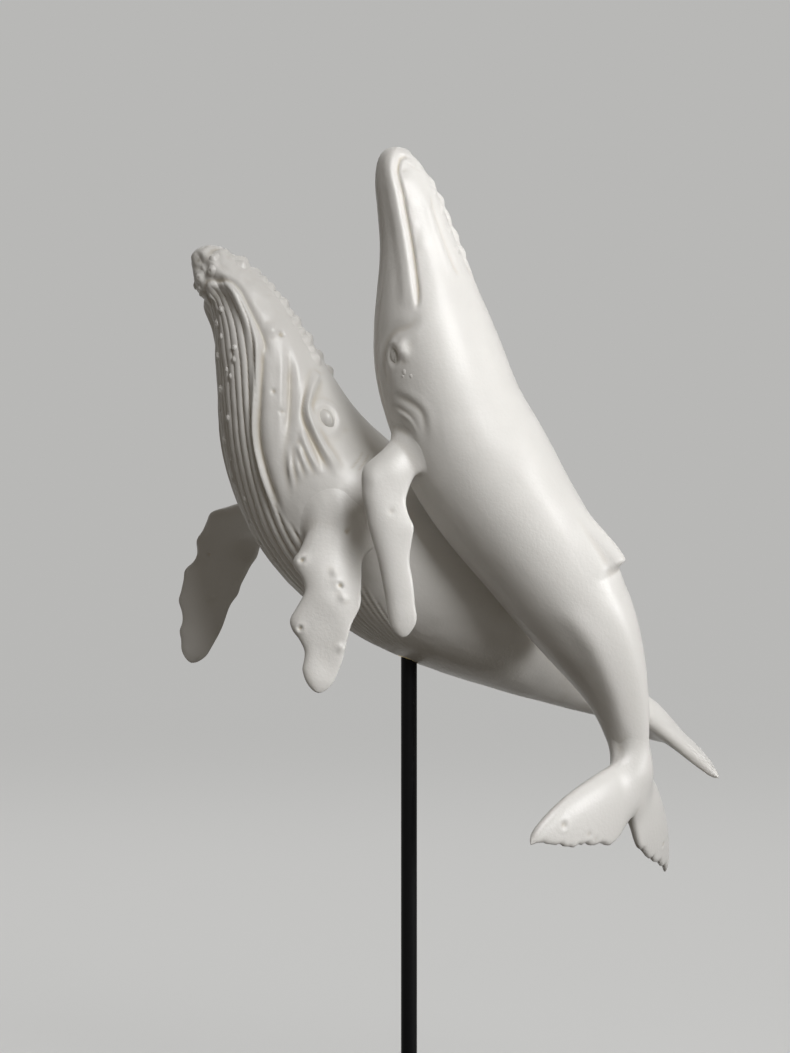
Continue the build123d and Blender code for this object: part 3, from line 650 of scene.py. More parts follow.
def carved_calf(look):
    """The calf's skin: a rolled lower lip, eye folds, neck folds and a keeled tail."""
    hide = Hide(WHALES["calf"])
    spacing = look.pleat_spacing / MM * CALF_PLEAT_SPACING_SHARE
    depth = look.pleat_depth / MM * CALF_PLEAT_DEPTH_SHARE
    hide.pleats(CALF_PLEAT_TOP, spacing, depth, seed=8.4)
    hide.fold(CALF_LIP, depth=0.5, width=2.2, lip=1.6, lip_width=2.6, start=0.36)
    hide.fold(CALF_LIP, depth=0.4, width=3.8, shift=-6.5, fade=0.35)
    hide.fold(CALF_MOUTH, depth=1.4, width=0.8, lip=0.4, lip_place=1.9, lip_width=1.3, fade=0.16, start=0.42)
    hide.fold(CALF_EYE_RING, depth=0.85, width=2.3, lip=0.4, lip_place=-3.6, lip_width=2.4, fade=0.35)
    hide.eye_seat(CALF_EYE, long=3.7, wide=2.6, sink=0.9, lid=0.45)
    hide.fold(CALF_BROW, lip=1.7, lip_width=2.2, fade=0.40)
    hide.fold(CALF_NECK_FOLD, depth=0.5, width=1.5, lip=0.2, lip_place=-2.8, lip_width=1.8, fade=0.35)
    hide.fold(CALF_NECK_CREASE, depth=0.35, width=0.9, fade=0.40)
    hide.fold(CALF_NECK_RIDGE, lip=0.5, lip_place=-0.8, fade=0.40)
    hide.fold(CALF_ARM_FOLD, depth=0.7, width=1.7, fade=0.35)
    hide.fold(CALF_BLOW_GROOVE, depth=0.7, width=1.5, lip=0.5, lip_place=2.6, lip_width=1.6, fade=0.25)
    for share, degrees, radius, height in CALF_SCARS:
        hide.mound((share, degrees), radius, height)
    hide.fold(CALF_TAIL_RIDGE, lip=1.0, lip_width=4.5, fade=0.30)
    hide.weather(broad=(0.20, 19, 5.5), fine=(0.06, 6, 6.1), streak=(0.03, 2.4, 9.4))
    hide.keel(first=0.62, full=0.74, height=0.6, degrees=24)
    return hide


CARVERS = {"mother": carved_mother, "calf": carved_calf}

# Flippers: seat share and angle, sizes in millimetres, rings of share along, width, thickness and shift
# across, path and chord
FLIPPER_SEATS = {"mother": (0.39, 25.0), "calf": (0.43, 30.0)}
FLIPPER_SIZES = {"mother": (76.0, 22.0, 8.5), "calf": (70.0, 16.5, 8.0)}
FLIPPER_RING_SHARES = {
    "mother": (
        (0.00, 0.66, 1.00, 0.00), (0.12, 0.72, 1.00, 0.00), (0.26, 0.86, 0.92, 0.00),
        (0.42, 1.02, 0.84, -0.06), (0.56, 0.94, 0.72, 0.02), (0.69, 0.92, 0.62, -0.05),
        (0.82, 0.72, 0.52, 0.02), (0.94, 0.50, 0.42, 0.02), (1.00, 0.34, 0.30, 0.02),
    ),
    "calf": (
        (0.00, 0.70, 1.10, 0.00), (0.14, 0.86, 1.10, 0.00), (0.28, 1.00, 1.00, -0.04),
        (0.42, 0.92, 0.86, 0.02), (0.52, 0.90, 0.78, 0.06), (0.64, 0.72, 0.70, 0.00),
        (0.80, 0.64, 0.62, 0.00), (0.94, 0.52, 0.48, 0.00), (1.00, 0.38, 0.34, 0.00),
    ),
}
FLIPPER_PATH_SHARES = {
    "mother_left_flipper": (
        (0.08, 0.17, 0.12), (0.09, 0.07, 0.02), (0.09, 0.00, -0.18), (0.06, -0.09, -0.46),
        (0.00, -0.15, -0.92),
    ),
    "mother_right_flipper": (
        (0.10, -0.10, 0.03), (-0.04, 0.06, 0.03), (-0.225, 0.28, -0.12), (-0.35, 0.39, -0.40),
        (-0.45, 0.45, -0.74),
    ),
    "calf_left_flipper": (
        (0.03, 0.10, 0.12), (-0.06, -0.02, -0.03), (-0.13, -0.06, -0.21), (-0.10, -0.07, -0.42),
        (-0.035, -0.04, -0.92),
    ),
    "calf_right_flipper": (
        (0.00, -0.10, 0.02), (0.02, 0.10, 0.02), (0.10, 0.48, -0.04), (0.20, 0.80, -0.30),
    ),
}
FLIPPER_CHORD_SHARES = {
    "mother_left_flipper": (1.0, 0.0, -0.1),
    "mother_right_flipper": (0.95, 0.1, -0.3),
    "calf_left_flipper": (1.0, -0.1, 0.0),
    "calf_right_flipper": (0.9, 0.0, -0.3),
}
# Knobs on the edges: share along, side (-1 leading, 1 trailing), height and half length in millimetres
FLIPPER_KNOBS = {
    "mother_left_flipper": (
        (0.46, -1, 2.6, 4.2), (0.58, -1, -0.8, 4.0), (0.72, -1, 2.0, 4.0), (0.83, -1, -0.7, 3.0),
        (0.91, -1, 0.7, 2.6), (0.34, 1, 1.2, 5.0), (0.62, 1, 1.2, 5.0), (0.80, 1, -0.4, 3.0),
    ),
    "mother_right_flipper": (
        (0.36, -1, 1.8, 3.6), (0.50, -1, 1.6, 3.2), (0.63, -1, 1.4, 3.0), (0.76, -1, 1.2, 2.8),
        (0.88, -1, 1.0, 2.6), (0.45, 1, 1.2, 4.5), (0.66, 1, 0.9, 3.5),
    ),
    "calf_left_flipper": (
        (0.27, -1, 1.6, 4.2), (0.42, -1, -0.5, 4.0), (0.52, 1, 0.7, 3.0), (0.66, 1, -0.5, 4.5),
        (0.92, 1, 0.8, 3.2),
    ),
    "calf_right_flipper": (
        (0.36, -1, 1.2, 3.4), (0.55, -1, 1.2, 3.2), (0.74, -1, 1.0, 3.0),
    ),
}
# Bumps and pits left by old barnacles: share along, place across (-1 leading, 1 trailing), radius, height
FLIPPER_MARKS = {
    "mother_left_flipper": (
        (0.45, -0.84, 2.6, 1.0), (0.45, -0.80, 0.9, -1.5), (0.30, 0.42, 1.0, -0.9),
        (0.30, 0.42, 2.2, 0.3), (0.49, 0.10, 1.3, 0.6), (0.54, 0.28, 0.9, -1.2), (0.53, 0.26, 2.4, 0.5),
        (0.59, 0.45, 1.5, 0.7), (0.74, -0.76, 0.9, -1.2), (0.74, -0.80, 2.3, 0.6),
        (0.80, 0.80, 1.6, 0.6), (0.86, 0.05, 6.0, -0.7),
    ),
    "mother_right_flipper": (
        (0.52, -0.55, 1.0, -0.7), (0.52, -0.55, 2.3, 0.4), (0.70, 0.20, 1.2, 0.4),
    ),
    "calf_left_flipper": (
        (0.43, 0.30, 1.5, -0.3), (0.30, -0.55, 3.0, 0.5),
    ),
    "calf_right_flipper": ((0.50, 0.30, 1.5, -0.3),),
}
LEAD_ROUND_SHARE = 0.30
BLADE_ROWS = 150
BLADE_COLUMNS = 112
FILLET_ROWS = 18
TIP_SHARE = 0.94
ROOT_SINK = 0.06
ROOT_EDGE_SINK = 0.3
ROOT_EDGE_TURN = 0.14
ROOT_DEPTH_SHARE = 0.5
ROOT_SCAN_SHARE = 0.7
ROOT_SCAN_STEPS = 141
ROOT_WALL_POWER = 8
TIP_CROWDING = 1.15
KNOB_TIP_GAIN = 1.5
BLADE_GRAIN = 0.16
BLADE_GRAIN_SIZE = 7
BLADE_SEED = 3.3


class Blade:
    """A fin's surface, read by share along its path and turn round its section from the trailing edge."""

    def __init__(self, path, chord, rings, width, thickness, knobs=(), marks=()):
        self.path = path
        self.chord = np.asarray(chord, float)
        self.rings = np.array(rings)
        self.width = width
        self.thickness = thickness
        self.knobs = knobs
        self.marks = marks

    def points(self, share, turn):
        """Points at shares and turns, the tip rounded off."""
        share, turn = np.broadcast_arrays(np.asarray(share, float), turn)
        heading = self.path.along(share)
        across = square_to(np.broadcast_to(self.chord, heading.shape), heading)
        face = np.cross(heading, across)
        sizes = spline(self.rings[:, 0], self.rings[:, 1:], share.ravel()).reshape(*share.shape, 3)
        tip = np.sqrt(np.clip(1 - (np.clip(share - TIP_SHARE, 0, None) / (1 - TIP_SHARE)) ** 2, 0, 1))
        half = self.width / 2 * sizes[..., 0] * tip
        thick = self.thickness / 2 * sizes[..., 1] * tip
        x = half * np.cos(turn)
        for along, side, height, long in self.knobs:
            edge = np.clip(side * np.cos(turn), 0, 1) ** 2
            bulge = swell((share - along) * self.path.length, long) * np.minimum(tip * KNOB_TIP_GAIN, 1)
            x = x + side * height * edge * bulge
        x = x + self.width * sizes[..., 2]
        y = thick * np.sin(turn) * (1 - LEAD_ROUND_SHARE * np.cos(turn))
        return self.path.at(share) + across * x[..., None] + face * y[..., None]

    def marked(self, points):
        """Points of the finished grid with its bumps raised and its pits pressed in."""
        out = outward(points)
        lift = np.zeros(points.shape[:2])
        for along, across, radius, height in self.marks:
            turn = math.acos(across)
            for side in (turn, -turn):
                away = np.linalg.norm(points - self.points(along, side), axis=-1)
                lift += height * swell(away, radius)
        lift += BLADE_GRAIN * rough(points, BLADE_GRAIN_SIZE, BLADE_SEED)
        return points + out * lift[..., None]

    def rooted(self, tree, reach):
        """The grid of the fin from a round fillet on a skin to its tip."""
        turns = np.linspace(0, 2 * math.pi, BLADE_COLUMNS, endpoint=False)
        scan = np.linspace(0, ROOT_SCAN_SHARE, ROOT_SCAN_STEPS)
        _, _, height = settle(tree, self.points(scan[:, None], turns[None]))
        lean = np.linspace(0, math.pi / 2, FILLET_ROWS)
        wanted = reach * (1 - np.cos(lean))
        spread = reach * (1 - np.sin(lean))
        fillet = np.empty((FILLET_ROWS, BLADE_COLUMNS))
        for column in range(BLADE_COLUMNS):
            under = np.nonzero(height[:, column] < 0)[0]
            start = under[-1] if len(under) else 0
            climb = np.maximum.accumulate(height[start:, column])
            fillet[:, column] = np.interp(wanted, climb + np.arange(len(climb)) * 1e-6, scan[start:])
        wall = self.points(fillet, turns[None])
        middle = self.path.at(fillet)
        _, way, _ = settle(tree, wall)
        apart = square_to(square_to(wall - middle, self.path.along(fillet)), way)
        moved = wall + apart * spread[:, None, None]
        place, way, _ = settle(tree, moved)
        sunk = ROOT_SINK + ROOT_EDGE_SINK * (1 - rise(0, ROOT_EDGE_TURN, lean))
        resting = place + way * (wanted - sunk)[:, None, None]
        moved = resting + (wall - resting) * (np.sin(lean) ** ROOT_WALL_POWER)[:, None, None]
        part = np.linspace(0, 1, BLADE_ROWS + 1)[1:, None]
        onward = fillet[-1] + (1 - fillet[-1]) * (1 - (1 - part) ** TIP_CROWDING)
        rest = self.points(onward, turns[None])
        root = np.broadcast_to(self.path.at(fillet[0].min() * ROOT_DEPTH_SHARE), (1, BLADE_COLUMNS, 3))
        return self.marked(np.concatenate([root, moved, rest]))


def flipper_blade(name):
    """A flipper's surface at its seat on the whale's flank."""
    whale_name, side = name.split("_")[:2]
    share, angle = FLIPPER_SEATS[whale_name]
    length, width, thickness = FLIPPER_SIZES[whale_name]
    root = WHALES[whale_name].skin(share, -angle if side == "left" else 180 + angle)
    path = Path(root + np.array(FLIPPER_PATH_SHARES[name]) * length)
    rings = FLIPPER_RING_SHARES[whale_name]
    chord = FLIPPER_CHORD_SHARES[name]
    return Blade(path, chord, rings, width, thickness, FLIPPER_KNOBS[name], FLIPPER_MARKS[name])


# Back fins: first, tip and last share along the spine, angle, and in millimetres the height and the half
# widths of crest and foot
FIN_SIZES = {
    "mother": (0.590, 0.696, 0.755, 90, 9.0, 6.0, 17.0),
    "calf": (0.565, 0.706, 0.765, 96, 5.4, 6.5, 16.0),
}
FIN_CREST_SHARE = 0.60
FIN_LEAN_SHARE = 0.35
FIN_HOOK_SHARE = 0.7
FIN_HOOK_RUN = 0.018
FIN_ROWS = 110
FIN_COLUMNS = 56
PATCH_SINK = 0.02
PATCH_EDGE_SINK = 0.5
PATCH_EDGE_SHARE = 0.93
PATCH_DEPTH = 3.0


def fin_grid(whale_name, tree):
    """The low hooked fin on a whale's back, swelling out of the skin."""
    first, tip, last, angle, height, crest, foot = FIN_SIZES[whale_name]
    whale = WHALES[whale_name]
    part = np.linspace(0, 1, FIN_ROWS)[:, None]
    share = first + (last - first) * part
    across = np.linspace(-1, 1, FIN_COLUMNS) * foot
    width, _ = whale.half_sizes(share)
    points = whale.skin(share, angle + np.degrees(across / width))
    place, way, _ = settle(tree, points)
    _, _, forward = whale.axes(share)
    up = np.sin(math.pi / 2 * np.clip((share - first) / (tip - first), 0, 1)) ** 3
    hook = FIN_HOOK_SHARE * rise(tip, tip + FIN_HOOK_RUN, share)
    climb = up - (hook + (1 - FIN_HOOK_SHARE) * rise(tip, last, share))
    profile = FIN_CREST_SHARE * hump(across / crest) + (1 - FIN_CREST_SHARE) * hump(across / foot)
    lift = height * climb * profile
    edge = np.maximum(np.abs(2 * part - 1), np.abs(across / foot))
    sunk = lift - PATCH_SINK - PATCH_EDGE_SINK * rise(PATCH_EDGE_SHARE, 1, edge)
    top = place + way * sunk[..., None] - forward * (FIN_LEAN_SHARE * lift**2 / height)[..., None]
    under = place - way * PATCH_DEPTH
    return np.concatenate([top, under[:, ::-1]], axis=1)


# Tail flukes: half span, sweep, droop and thickness in millimetres, and which way they point
FLUKE_SIZES = {"mother": (46.0, 26.0, 4.0, 7.0), "calf": (48.0, 33.0, 12.0, 7.0)}
FLUKE_RING_SHARES = (
    (0.00, -0.16, 0.54, 1.00), (0.07, -0.13, 0.66, 0.96), (0.14, -0.07, 0.80, 0.88),
    (0.32, 0.08, 0.93, 0.72), (0.55, 0.29, 0.98, 0.54), (0.80, 0.60, 1.00, 0.38),
    (0.94, 0.86, 1.03, 0.24), (1.00, 1.00, 1.08, 0.16),
)
FLUKE_LEFT_SHARES = {"mother": (0.12, -0.98, -0.10), "calf": (-0.59, -0.80, 0.19)}
FLUKE_AFT_SHARES = {"mother": (0.80, 0.24, -0.46), "calf": (0.10, 0.08, -0.99)}
# Scars on the flukes: share of the span, share of the sweep, radius and depth in millimetres
FLUKE_PITS = {
    "mother": ((-0.55, 0.62, 1.4, 0.5),),
    "calf": (
        (0.74, 0.76, 1.5, 0.45), (0.50, 0.82, 1.6, 0.22), (0.42, 0.86, 1.4, 0.20),
        (-0.60, 0.75, 1.3, 0.35),
    ),
}
FLUKE_STEP = 0.6
FLUKE_BLEND = 8.0
FLUKE_MARGIN = 3.0
FLUKE_SLEEVE = 20.0
FLUKE_SINK = 0.10
FLUKE_EDGE = 0.5
FLUKE_NICK_SHARE = 0.05
FLUKE_TIP_SHARE = 0.965
FLUKE_TIP_POWER = 40
FLUKE_AFT_MARGIN_SHARE = 1.2
LOBE_TAPER = (1.12, 0.42)
TAIL_CORE = (4.6, 13.0, 4.4)
# Nicks in the trailing edge: pitch, seed and share of each wave, their level, and the span shares they
# come in and run out over
NICK_WAVES = ((9, (0.3, 4.4), 1.0), (24, (2.3, 1.1), 0.5))
NICK_LEVEL = 0.6
NICK_SHARES = (0.10, 0.25, 0.9, 1.0)


def oval_distance(offsets, radii):
    """About how far points are from an oval, below zero inside it."""
    scaled = np.sqrt(sum((o / r) ** 2 for o, r in zip(offsets, radii)))
    slope = np.sqrt(sum((o / r**2) ** 2 for o, r in zip(offsets, radii)))
    return scaled * (scaled - 1) / np.maximum(slope, 1e-9)


def blended(a, b, reach):
    """Two fields of distance joined with a round fillet."""
    near = np.clip(reach - np.abs(a - b), 0, None) / reach
    return np.minimum(a, b) - near**2 * reach / 4


def contour(field, low, step):
    """Points and four-sided faces of the closed skin where a field on a cubic grid passes zero."""
    inside = field < 0
    shape = np.array(field.shape) - 1
    count = np.zeros(shape)
    total = np.zeros((*shape, 3))
    for axis in range(3):
        for sides in itertools.product((0, 1), repeat=2):
            ends = [np.insert(sides, axis, end) for end in (0, 1)]
            a, b = (field[tuple(slice(e, e + n) for e, n in zip(end, shape))] for end in ends)
            crossed = (a < 0) != (b < 0)
            count += crossed
            total += crossed[..., None] * ends[0]
            total[..., axis] += np.where(crossed, a / np.where(crossed, a - b, 1), 0)
    cells = count > 0
    points = (np.argwhere(cells) + total[cells] / count[cells][:, None]) * step + low
    index = np.full(shape, -1)
    index[cells] = np.arange(len(points))
    faces = []
    for axis in range(3):
        turned = np.moveaxis(inside, axis, 0)
        cell = np.moveaxis(index, axis, 0)
        k, u, v = (np.argwhere((turned[1:] != turned[:-1])[:, 1:-1, 1:-1]) + (0, 1, 1)).T
        corners = [cell[k, u - 1, v - 1], cell[k, u, v - 1], cell[k, u, v], cell[k, u - 1, v]]
        faces.append(np.stack(corners, -1))
    return points, np.concatenate(faces)


def fluke_skin(whale_name, tree):
    """Both lobes of a tail fluke, grown together with the end of the tail stock: points and faces."""
    half_span, sweep, droop, thickness = FLUKE_SIZES[whale_name]
    left = unit(FLUKE_LEFT_SHARES[whale_name])
    aft = square_to(FLUKE_AFT_SHARES[whale_name], left)
    down = np.cross(aft, left)
    end = WHALES[whale_name].spine.at(1.0)
    margin = np.array([FLUKE_MARGIN, FLUKE_MARGIN, 2 * FLUKE_MARGIN])
    low = np.array([-half_span, -FLUKE_SLEEVE, -thickness]) - margin
    high = np.array([half_span, FLUKE_AFT_MARGIN_SHARE * sweep, droop + thickness]) + margin
    u, v, w = np.meshgrid(*[np.arange(a, b, FLUKE_STEP) for a, b in zip(low, high)], indexing="ij")
    span = u[:, 0, 0] / half_span
    rings = np.array(FLUKE_RING_SHARES)
    lead, trail, thick = spline(rings[:, 0], rings[:, 1:], np.abs(span)).T
    waves = np.zeros_like(span)
    for pitch, seed, share in NICK_WAVES:
        waves += share * np.array([noise(Vector((place * pitch, *seed))) for place in span])
    nicked = rise(*NICK_SHARES[:2], np.abs(span)) * (1 - rise(*NICK_SHARES[2:], np.abs(span)))
    cut = trail - FLUKE_NICK_SHARE * (NICK_LEVEL + waves) * nicked
    tip = np.sqrt(np.clip(1 - span**FLUKE_TIP_POWER, 0, 1))
    half = np.maximum(sweep * (trail - lead) / 2 * tip, FLUKE_EDGE)[:, None, None]
    middle = (sweep * (trail + lead) / 2)[:, None, None]
    taper = LOBE_TAPER[0] - LOBE_TAPER[1] * np.clip((v - middle) / half, -1, 1)
    deep = np.maximum(thickness / 2 * thick * tip, FLUKE_EDGE)[:, None, None] * taper
    bent = w - droop * (u / half_span) ** 2
    section = oval_distance((v - middle, bent), (half, deep))
    lobes = -blended(-section, FLUKE_TIP_SHARE * half_span - np.abs(u), FLUKE_EDGE * 6)
    lobes = -blended(-lobes, sweep * cut[:, None, None] - v, FLUKE_EDGE * 4) - FLUKE_EDGE
    for across, back, radius, depth in FLUKE_PITS[whale_name]:
        away = np.sqrt((u - across * half_span) ** 2 + (v - back * sweep) ** 2)
        lobes = lobes + depth * (swell(away, radius * 0.8) - 0.3 * swell(away - 1.3 * radius, radius * 0.6))
    places = end + u[..., None] * left + v[..., None] * aft + w[..., None] * down
    near = (np.abs(u) < 3 * FLUKE_BLEND) & (v < 2 * FLUKE_BLEND)
    stock = np.full(u.shape, 2 * FLUKE_BLEND)
    stock[near] = settle(tree, places[near])[2] + FLUKE_SINK
    core = oval_distance((u, v, w), TAIL_CORE)
    field = blended(blended(stock, core, FLUKE_BLEND / 2), lobes, FLUKE_BLEND)
    field = np.maximum(field, -v - FLUKE_SLEEVE)
    points, faces = contour(field, low, FLUKE_STEP)
    return end + points @ np.stack([left, aft, down]), faces


# Skin knobs: rows of share along the spine and angle, with a size share each
MOTHER_TUBERCLES = (
    *((0.084 + 0.0135 * step, 44 - 0.9 * step, 0.85 + 0.15 * (step % 2)) for step in range(10)),
    *((0.070 + 0.0260 * step, 66 + 4 * (step % 2), 1.0) for step in range(7)),
    *((0.080 + 0.0260 * step, 92 - 3 * (step % 2), 1.1) for step in range(7)),
    *((0.072 + 0.0260 * step, 114 + 4 * (step % 2), 1.0) for step in range(7)),
    *((0.084 + 0.0135 * step, 136 + 0.9 * step, 0.85 + 0.15 * (step % 2)) for step in range(10)),
    (0.050, 30, 0.9), (0.046, 62, 1.1), (0.048, 96, 1.1), (0.046, 126, 1.1), (0.050, 150, 0.9),
)
CALF_TUBERCLES = (
    *((0.062 + 0.0260 * step, 115 + 2 * (step % 2), 1.15) for step in range(5)),
    *((0.074 + 0.0300 * step, 93, 0.8) for step in range(4)),
    *((0.066 + 0.0300 * step, 138 + 4 * step, 0.7) for step in range(4)),
)
CALF_EYE_BUMPS = ((0.325, -6, 0.40), (0.333, 0, 0.30), (0.330, -8, 0.26))
MOTHER_BARNACLES = (
    (0.080, -70, 0.8), (0.095, -92, 1.0), (0.120, -84, 0.7), (0.150, -98, 0.9), (0.178, -80, 0.6),
    (0.205, -95, 1.0), (0.232, -102, 0.7), (0.247, -84, 0.8), (0.272, -97, 0.8), (0.296, -90, 0.6),
    (0.321, -96, 0.9), (0.345, -84, 0.6), (0.030, -40, 1.2), (0.026, -75, 1.3), (0.018, -8, 1.1),
    (0.040, -100, 0.9), (0.022, 40, 1.1), (0.030, -130, 1.2), (0.024, 190, 1.1), (0.370, -93, 0.6),
    (0.150, -62, 0.7), (0.168, -66, 0.8), (0.190, -74, 0.6), (0.395, -96, 0.7), (0.420, -88, 0.6),
)
KNOB_ROWS = 12
KNOB_COLUMNS = 22
KNOB_SINK = 0.18
KNOB_CRATER_WIDTH = 0.26
TUBERCLE_HEIGHT_SHARES = {"mother": 0.42, "calf": 0.20}
CALF_TUBERCLE_SHARE = 0.9
# A barnacle's height and the depth of its crater, in shares
BARNACLE_SHARES = (0.50, 0.40)

# Eyes: place, and the ball's length, width and height in millimetres
EYES = {"mother": (MOTHER_EYE, (3.9, 2.9, 3.6)), "calf": (CALF_EYE, (3.0, 2.1, 1.3))}
EYE_ROWS = 30
EYE_COLUMNS = 48
EYE_SINK_SHARE = 0.30


def knob_grid(whale, tree, place, radius, height, crater=0.0):
    """A round knob on a skin, its edge sunk in, with a crater in its crown where one is asked for."""
    share, degrees = place
    centre = whale.skin(share, degrees)
    _, _, forward = whale.axes(np.asarray(share))
    seat, way, _ = settle(tree, centre[None])
    across = square_to(np.cross(way[0], forward), way[0])
    ahead = np.cross(across, way[0])
    away = np.linspace(0, 1, KNOB_ROWS)
    turn = np.linspace(0, 2 * math.pi, KNOB_COLUMNS, endpoint=False)
    uneven = 1 + 0.10 * np.sin(turn * 2 + share * 90) + 0.06 * np.sin(turn * 3 + degrees)
    flat = seat[0] + (radius * away[:, None] * uneven)[..., None] * (
        np.cos(turn)[:, None] * across + np.sin(turn)[:, None] * ahead
    )
    place, _, _ = settle(tree, flat)
    bulge = height * ((1 - away**2) ** 2 - crater * swell(away, KNOB_CRATER_WIDTH))
    top = place + way[0] * (bulge - KNOB_SINK * away**6)[:, None, None]
    under = np.repeat((seat[0] - way[0] * radius)[None, None], KNOB_COLUMNS, 1)
    return np.concatenate([top, under])


def eye_grid(whale, tree, place, mirrored, long, wide, high):
    """An eye: a smooth oval ball set in its hollow, with the fold of the lid pressed across it."""
    share, degrees = place
    degrees = 180 - degrees if mirrored else degrees
    centre = whale.skin(share, degrees)
    seat, way, _ = settle(tree, centre[None])
    _, _, forward = whale.axes(np.asarray(share))
    ahead = square_to(forward, way[0])
    up = np.cross(way[0], ahead) * (1 if mirrored else -1)
    lat = np.linspace(math.pi / 2, -math.pi / 3, EYE_ROWS)
    turn = np.linspace(0, 2 * math.pi, EYE_COLUMNS, endpoint=False)
    x = np.cos(lat)[:, None] * np.cos(turn)
    y = np.cos(lat)[:, None] * np.sin(turn)
    z = np.sin(lat)[:, None] * np.ones_like(turn)
    lid = 0.16 * swell(y - 0.42 + 0.35 * x**2, 0.22) - 0.10 * swell(y - 0.16 + 0.35 * x**2, 0.10)
    ball = np.stack([x * long, y * wide, (z + lid * (z > 0)) * high], -1)
    return seat[0] + ball @ np.stack([ahead, up, way[0]]) - way[0] * high * EYE_SINK_SHARE


def socket(group, name, way, kind, default=None):
    """A named socket on a shader node group."""
    made = group.interface.new_socket(name=name, in_out=way, socket_type=kind)
    if default is not None:
        made.default_value = default
    return made


def grain_group():
    """Shader group of soft mottling and fine grain, sized in metres, for every finish."""
    group = bpy.data.node_groups.new("Surface grain", "ShaderNodeTree")
    socket(group, "Mottle Size", "INPUT", "NodeSocketFloat", 0.012)
    socket(group, "Grain Size", "INPUT", "NodeSocketFloat", 0.0008)
    socket(group, "Mottle", "OUTPUT", "NodeSocketFloat")
    socket(group, "Grain", "OUTPUT", "NodeSocketFloat")
    nodes, links = group.nodes, group.links
    entry = nodes.new("NodeGroupInput")
    leave = nodes.new("NodeGroupOutput")
    place = nodes.new("ShaderNodeTexCoord")
    for label, detail in (("Mottle", 3.0), ("Grain", 2.0)):
        scale = nodes.new("ShaderNodeMath")
        scale.operation = "DIVIDE"
        scale.inputs[0].default_value = 1.0
        links.new(entry.outputs[f"{label} Size"], scale.inputs[1])
        cloud = nodes.new("ShaderNodeTexNoise")
        cloud.inputs["Detail"].default_value = detail
        links.new(place.outputs["Object"], cloud.inputs["Vector"])
        links.new(scale.outputs[0], cloud.inputs["Scale"])
        links.new(cloud.outputs["Fac"], leave.inputs[label])
    return group


def finish(name, colour, roughness, mottle, sizes, bump, metallic=0.0, specular=0.5):
    """A material whose colour and roughness vary softly, with fine grain, and its shader and colour mix."""
    material = bpy.data.materials.new(name)
    material.use_nodes = True
    nodes, links = material.node_tree.nodes, material.node_tree.links
    shader = nodes["Principled BSDF"]
    shader.inputs["Metallic"].default_value = metallic
    shader.inputs["Specular IOR Level"].default_value = specular
    grain = nodes.new("ShaderNodeGroup")
    grain.node_tree = bpy.data.node_groups.get("Surface grain") or grain_group()
    grain.inputs["Mottle Size"].default_value, grain.inputs["Grain Size"].default_value = sizes
    shade = nodes.new("ShaderNodeMix")
    shade.data_type = "RGBA"
    shade.inputs["A"].default_value = (*[c * (1 - mottle) for c in colour], 1)
    shade.inputs["B"].default_value = (*[min(c * (1 + mottle), 1) for c in colour], 1)
    links.new(grain.outputs["Mottle"], shade.inputs["Factor"])
    links.new(shade.outputs["Result"], shader.inputs["Base Color"])
    sheen = nodes.new("ShaderNodeMapRange")
    sheen.inputs["To Min"].default_value = roughness[0]
    sheen.inputs["To Max"].default_value = roughness[1]
    links.new(grain.outputs["Mottle"], sheen.inputs["Value"])
    links.new(sheen.outputs["Result"], shader.inputs["Roughness"])
    dent = nodes.new("ShaderNodeBump")
    dent.inputs["Strength"].default_value = bump[0]
    dent.inputs["Distance"].default_value = bump[1]
    links.new(grain.outputs["Grain"], dent.inputs["Height"])
    links.new(dent.outputs["Normal"], shader.inputs["Normal"])
    return material, shader, shade


GLAZE_IOR = 1.5
GLAZE_ROUGHNESS_SPREAD = (-0.06, 0.08)
GLAZE_COAT_WEIGHT = 0.10
GLAZE_COAT_ROUGHNESS = 0.24
GLAZE_MOTTLE = 0.03
GLAZE_SIZES = (0.009, 0.0012)
GLAZE_BUMP = (0.30, 0.00025)


def porcelain(look):
    """Satin white porcelain, darker and warmer in its folds where shade is painted into the colour."""
    if "Porcelain" in bpy.data.materials:
        return bpy.data.materials["Porcelain"]
    roughness = [look.roughness + spread for spread in GLAZE_ROUGHNESS_SPREAD]
    material, shader, shade = finish(
        "Porcelain", look.colour, roughness, GLAZE_MOTTLE, GLAZE_SIZES, GLAZE_BUMP
    )
    nodes, links = material.node_tree.nodes, material.node_tree.links
    # Painted shade: the hollow mask mixes a darker, warmer colour into the creases
    fold_shade = nodes.new("ShaderNodeMix")
    fold_shade.data_type = "RGBA"
    fold_shade.inputs["B"].default_value = (*look.fold_shade_colour, 1)
    hollow = nodes.new("ShaderNodeAttribute")
    hollow.attribute_name = "hollow"
    links.new(hollow.outputs["Fac"], fold_shade.inputs["Factor"])
    links.new(shade.outputs["Result"], fold_shade.inputs["A"])
    links.new(fold_shade.outputs["Result"], shader.inputs["Base Color"])
    shader.inputs["IOR"].default_value = GLAZE_IOR
    shader.inputs["Coat Weight"].default_value = GLAZE_COAT_WEIGHT
    shader.inputs["Coat Roughness"].default_value = GLAZE_COAT_ROUGHNESS
    return material


